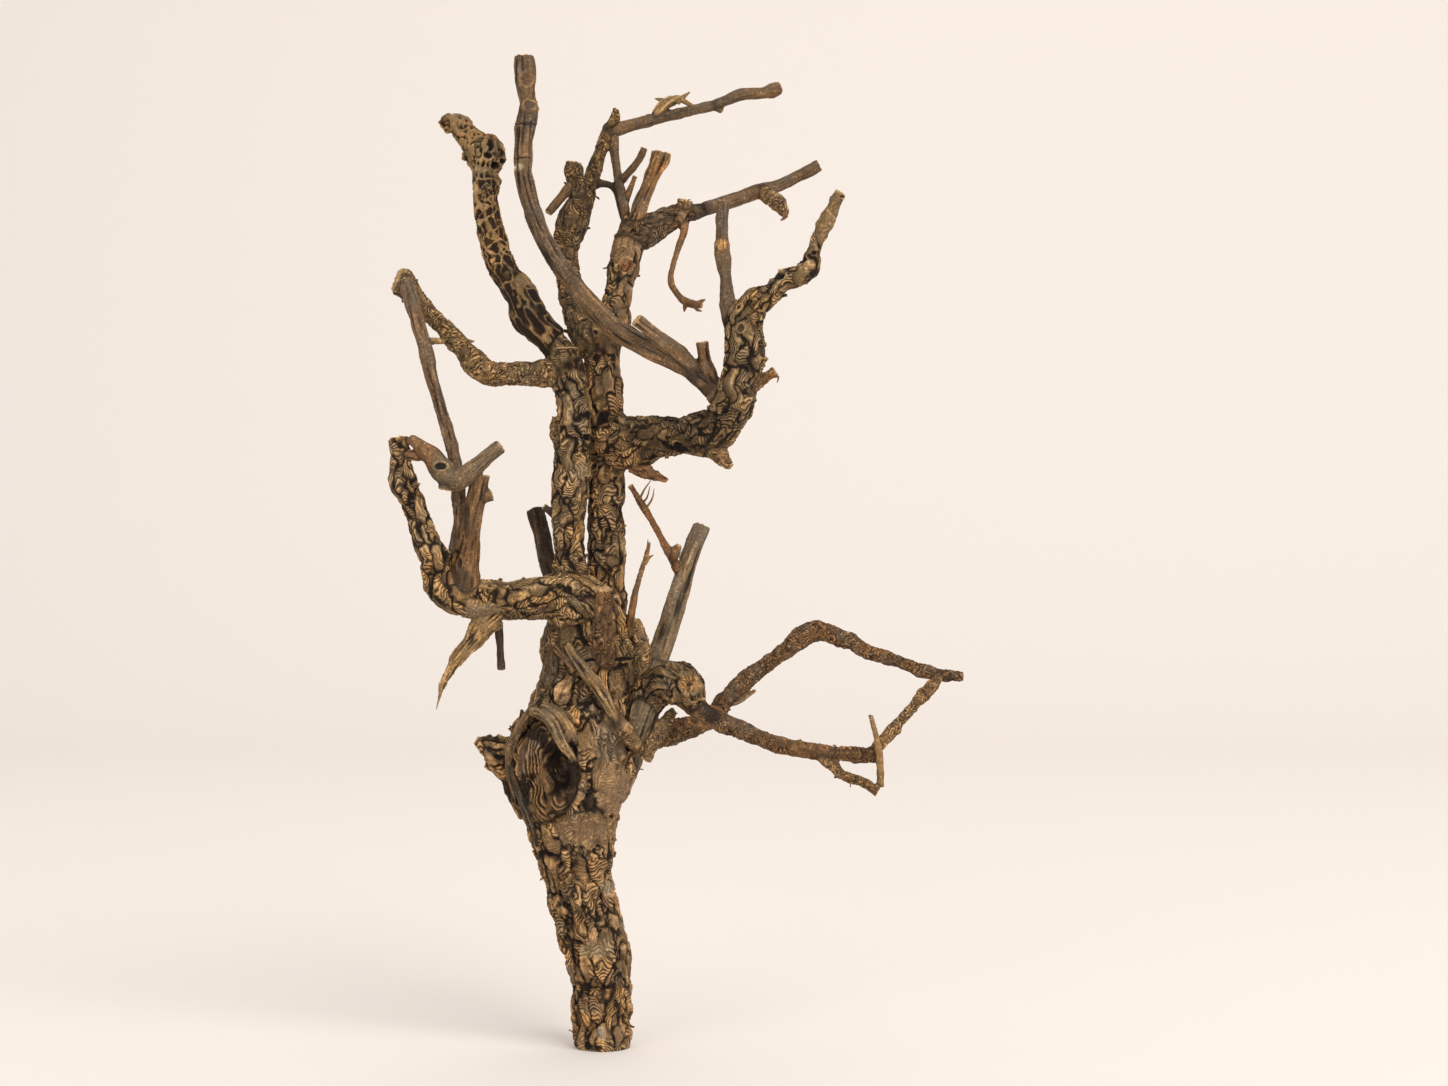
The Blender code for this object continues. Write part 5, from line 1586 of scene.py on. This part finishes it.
class Nodes:
    """The node tree of one material."""

    def __init__(self, name: str) -> None:
        """Start a material with only its output and its shader."""
        self.material = bpy.data.materials.new(name)
        self.material.use_nodes = True
        self.tree = self.material.node_tree
        self.shader = self.tree.nodes["Principled BSDF"]

    def node(self, kind: str, settings: dict, inputs: dict, output: int | str = 0) -> Socket:
        """Add a node.

        Args:
            kind: The node's type.
            settings: Its settings, which are made first.
            inputs: A value or a link for each of its sockets.
            output: Which of its outputs is wanted.

        Returns:
            The wanted output.
        """
        made = self.tree.nodes.new(kind)
        for name, value in settings.items():
            setattr(made, name, value)
        for name, value in inputs.items():
            self.feed(made.inputs[name], value)
        return Socket(self, made.outputs[output])

    def feed(self, target: bpy.types.NodeSocket, value: "Socket | float | tuple") -> None:
        """Link a socket into a target, or set the target to a value."""
        if isinstance(value, Socket):
            self.tree.links.new(value.output, target)
        else:
            target.default_value = value

    def mix(self, factor: "Socket | float", one: "Socket | tuple", two: "Socket | tuple",
            blend: str = "MIX") -> Socket:
        """Return two colours mixed by a factor."""
        return self.node("ShaderNodeMix", {"data_type": "RGBA", "blend_type": blend},
                         {0: factor, 6: one, 7: two}, 2)

    def attribute(self, name: str, output: str) -> Socket:
        """Return one of the mesh's own attributes."""
        return self.node("ShaderNodeAttribute", {"attribute_name": name}, {}, output)

    def noise(self, vector: Socket, scale: float, detail: float, rough: float) -> Socket:
        """Return a Noise Texture's value."""
        return self.node("ShaderNodeTexNoise", {}, {
            "Vector": vector, "Scale": scale, "Detail": detail, "Roughness": rough})

    def scaled(self, vector: Socket, scale: tuple[float, float, float]) -> Socket:
        """Return a vector stretched along its axes."""
        return self.node("ShaderNodeVectorMath", {"operation": "MULTIPLY"}, {0: vector, 1: scale})


@dataclass(frozen=True)
class WeatheredWoodWithPaintedLight:
    """The finish of the wood: its tone by limb, grain and specks, dark furrows and cracks in mostly painted shade,
    and pale lines in part painted highlight.

    Attributes:
        furrow_tint: What the tone is multiplied by in a furrow, crack or split: mostly painted shade.
        ridge_tint: What it is multiplied by on a line or ridge: partly painted highlight.
        rough: The roughness of bark.
        bump: The height of the finest grain, in metres.
    """

    furrow_tint: Colour = (0.07, 0.05, 0.036)
    ridge_tint: Colour = (2.95, 2.95, 2.9)
    rough: float = 0.84
    bump: float = 0.0004

    def material(self) -> bpy.types.Material:
        """Return the finish as a material."""
        nodes = Nodes("weathered_wood")
        place = nodes.node("ShaderNodeTexCoord", {}, {}, "Object")
        grain = nodes.attribute("grain", "Vector")
        tone = nodes.attribute("tone", "Color")
        furrow = nodes.attribute("furrow", "Fac")
        ridge = nodes.attribute("ridge", "Fac")
        bare = nodes.attribute("bare", "Fac")
        bark = nodes.attribute("bark", "Vector")
        edge, phase, lined = (nodes.node("ShaderNodeSeparateXYZ", {}, {0: bark}, axis) for axis in "XYZ")
        crumb = nodes.noise(place, 1100.0, 4.0, 0.68)
        ripple = nodes.noise(place, 420.0, 2.0, 0.5)
        streak = nodes.noise(nodes.scaled(grain, (0.13, 1.7, 1.7)), 1.0, 4.0, 0.62)
        cloud = nodes.noise(place, 160.0, 3.0, 0.55)
        dash = nodes.noise(nodes.scaled(grain, (2.6, 0.8, 0.8)), 1.0, 1.0, 0.4)
        vein = abs(nodes.noise(nodes.scaled(grain, (0.45, 0.9, 0.9)), 1.0, 2.0, 0.55) - 0.5)
        # Dark cracks at the plates' edges and fine splits along the grain: painted shade in them.
        crack = 1 - (edge + 0.5 * (ripple - 0.5)).between(0.06, 0.4)
        split = (1 - vein.between(0.0, 0.022)) * (0.65 - 0.35 * bare)
        turned = phase * (2 * math.pi) - 1.1 + 1.6 * (ripple - 0.5)
        wave = turned.maths("COSINE", turned, 0.0)
        # The lines' crests are pale and their troughs dark: partly the bark's own lines, partly painted highlight
        # and shade.
        pale_line = wave.between(0.5, 0.98) * lined
        dark_line = (-wave).between(0.35, 0.95) * lined
        light = 1.65 * crumb + 1.35 * streak - 0.5
        shade = nodes.node("ShaderNodeCombineXYZ", {}, {0: light, 1: light, 2: light})
        body = nodes.mix(1.0, tone, shade, "MULTIPLY")
        grey = nodes.mix(cloud.between(0.48, 0.72) * 0.4, body, (0.135, 0.11, 0.082, 1.0))
        pale = nodes.mix(1.0, grey, (*self.ridge_tint, 1.0), "MULTIPLY")
        dark = nodes.mix(1.0, grey, (*self.furrow_tint, 1.0), "MULTIPLY")
        speck = dash.between(0.63, 0.68) * bare * 0.6
        # Paleness from ridges and line crests, partly painted highlight, and from specks of bare wood.
        lit = (ridge * (0.3 + 0.9 * crumb) + pale_line * (0.4 + 0.9 * cloud) + speck).clamped()
        seam = streak.between(0.54, 0.66) * (0.3 + 0.5 * bare)
        # Darkness in furrows, cracks, splits and line troughs, mostly painted shade, and the grain's own dark
        # seams.
        deep = (furrow * (0.7 + 0.6 * crumb)).larger(crack).larger(dark_line * 0.9).larger(split * 0.75)
        deep = deep.larger(seam).clamped()
        colour = nodes.mix(lit, grey, pale)
        colour = nodes.mix(deep, colour, dark)
        nodes.feed(nodes.shader.inputs["Base Color"], colour)
        nodes.feed(nodes.shader.inputs["Roughness"], self.rough + 0.1 * crumb - 0.25 * bare)
        nodes.shader.inputs["Specular IOR Level"].default_value = 0.3
        height = 0.5 * crumb + 0.35 * streak - 0.7 * crack - 0.4 * split + 0.3 * wave * lined
        normal = nodes.node("ShaderNodeBump", {}, {"Strength": 0.8, "Distance": self.bump, "Height": height})
        nodes.feed(nodes.shader.inputs["Normal"], normal)
        return nodes.material


@dataclass(frozen=True)
class PaleFloor:
    """The finish of the studio's floor and backdrop."""

    tone: Colour = srgb(238, 231, 225)

    def material(self) -> bpy.types.Material:
        """Return the finish as a material."""
        nodes = Nodes("pale_floor")
        nodes.shader.inputs["Base Color"].default_value = (*self.tone, 1.0)
        nodes.shader.inputs["Roughness"].default_value = 0.9
        nodes.shader.inputs["Specular IOR Level"].default_value = 0.1
        return nodes.material


@dataclass(frozen=True)
class Studio:
    """The floor, the lights and the camera.

    Attributes:
        lens: Its focal length for a sensor 36 mm wide.
        floor_half: Half the floor's width.
        floor_front, floor_back: Where the floor ends towards the camera and where the sweep begins.
        sweep, sweep_steps: The radius of the sweep up to the backdrop, and its number of faces.
        wall: The height of the backdrop.
    """

    lens: float = 61.73
    floor_half: float = 3.0
    floor_front: float = -3.0
    floor_back: float = 1.0
    sweep: float = 0.8
    sweep_steps: int = 24
    wall: float = 2.4

    def floor(self, material: bpy.types.Material) -> bpy.types.Object:
        """Return the floor with its sweep up to the backdrop."""
        bm = bmesh.new()
        one = bm.verts.new((-self.floor_half, self.floor_front, 0))
        two = bm.verts.new((self.floor_half, self.floor_front, 0))
        edges = [bm.edges.new((one, two))]
        steps = [(0, self.floor_back - self.floor_front, 0)]
        for i in range(self.sweep_steps):
            low, high = (math.pi / 2 * n / self.sweep_steps for n in (i, i + 1))
            steps.append((0, self.sweep * (math.sin(high) - math.sin(low)),
                          self.sweep * (math.cos(low) - math.cos(high))))
        steps.append((0, 0, self.wall))
        for step in steps:
            made = bmesh.ops.extrude_edge_only(bm, edges=edges)["geom"]
            edges = [item for item in made if isinstance(item, bmesh.types.BMEdge)]
            bmesh.ops.translate(bm, vec=step, verts=[item for item in made if isinstance(item, bmesh.types.BMVert)])
        bmesh.ops.recalc_face_normals(bm, faces=bm.faces[:])
        if bm.faces[:][0].normal.z < 0:
            bmesh.ops.reverse_faces(bm, faces=bm.faces[:])
        mesh = bpy.data.meshes.new("studio_floor")
        bm.to_mesh(mesh)
        bm.free()
        mesh.shade_smooth()
        mesh.materials.append(material)
        obj = bpy.data.objects.new("studio_floor", mesh)
        bpy.context.scene.collection.objects.link(obj)
        return obj

    @staticmethod
    def light(name: str, place: Vector, size: float, power: float, tint: Colour) -> None:
        """Hang one soft square light that faces the wood.

        Args:
            name: The light's name.
            place: Where it hangs, in metres.
            size: The length of its sides.
            power: Its power in watts.
            tint: Its colour.
        """
        data = bpy.data.lights.new(name, "AREA")
        data.shape = "SQUARE"
        data.size = size
        data.energy = power
        data.color = tint
        lamp = bpy.data.objects.new(name, data)
        lamp.location = place
        lamp.rotation_euler = (Vector((0, 0, 0.15)) - place).to_track_quat("-Z", "Y").to_euler()
        bpy.context.scene.collection.objects.link(lamp)

    def lights(self) -> None:
        """Hang the lights and fill the room with soft pale light."""
        self.light("key_light", Vector((1.6, -1.9, 2.1)), 2.2, 64.0, (1.0, 0.975, 0.95))
        self.light("fill_light", Vector((-1.1, -2.0, 0.9)), 1.4, 10.0, (1.0, 0.98, 0.96))
        self.light("top_light", Vector((0.1, 0.6, 1.7)), 1.2, 4.0, (1.0, 0.99, 0.97))
        world = bpy.data.worlds.new("studio_world")
        world.use_nodes = True
        background = world.node_tree.nodes["Background"]
        background.inputs["Color"].default_value = (1.0, 0.98, 0.955, 1.0)
        background.inputs["Strength"].default_value = 0.62
        bpy.context.scene.world = world

    def camera(self) -> None:
        """Set the camera level with the wood's middle, as the photograph was taken."""
        data = bpy.data.cameras.new("front_camera")
        data.sensor_width = 36.0
        data.lens = self.lens
        data.clip_start = 0.05
        data.clip_end = 20.0
        camera = bpy.data.objects.new("front_camera", data)
        camera.location = EYE * MM
        camera.rotation_euler = (math.pi / 2, 0.0, 0.0)
        bpy.context.scene.collection.objects.link(camera)
        bpy.context.scene.camera = camera

    def build(self) -> None:
        """Build the studio."""
        bpy.context.scene.view_settings.view_transform = "Standard"
        self.floor(PaleFloor().material())
        self.lights()
        self.camera()


def main() -> None:
    """Build the wood and the studio, and keep the sizes before and after."""
    logging.basicConfig(level=logging.INFO, format="%(name)s: %(message)s")
    wood = WeatheredWoodWithPaintedLight().material()
    pieces = Driftwood(LIMBS).build(wood)
    pieces.append(LooseBark(LIMBS, FIBRES).build(pieces, wood))
    LOG.info("pieces: %d", len(pieces))
    Studio().build()


if __name__ == "__main__":
    main()
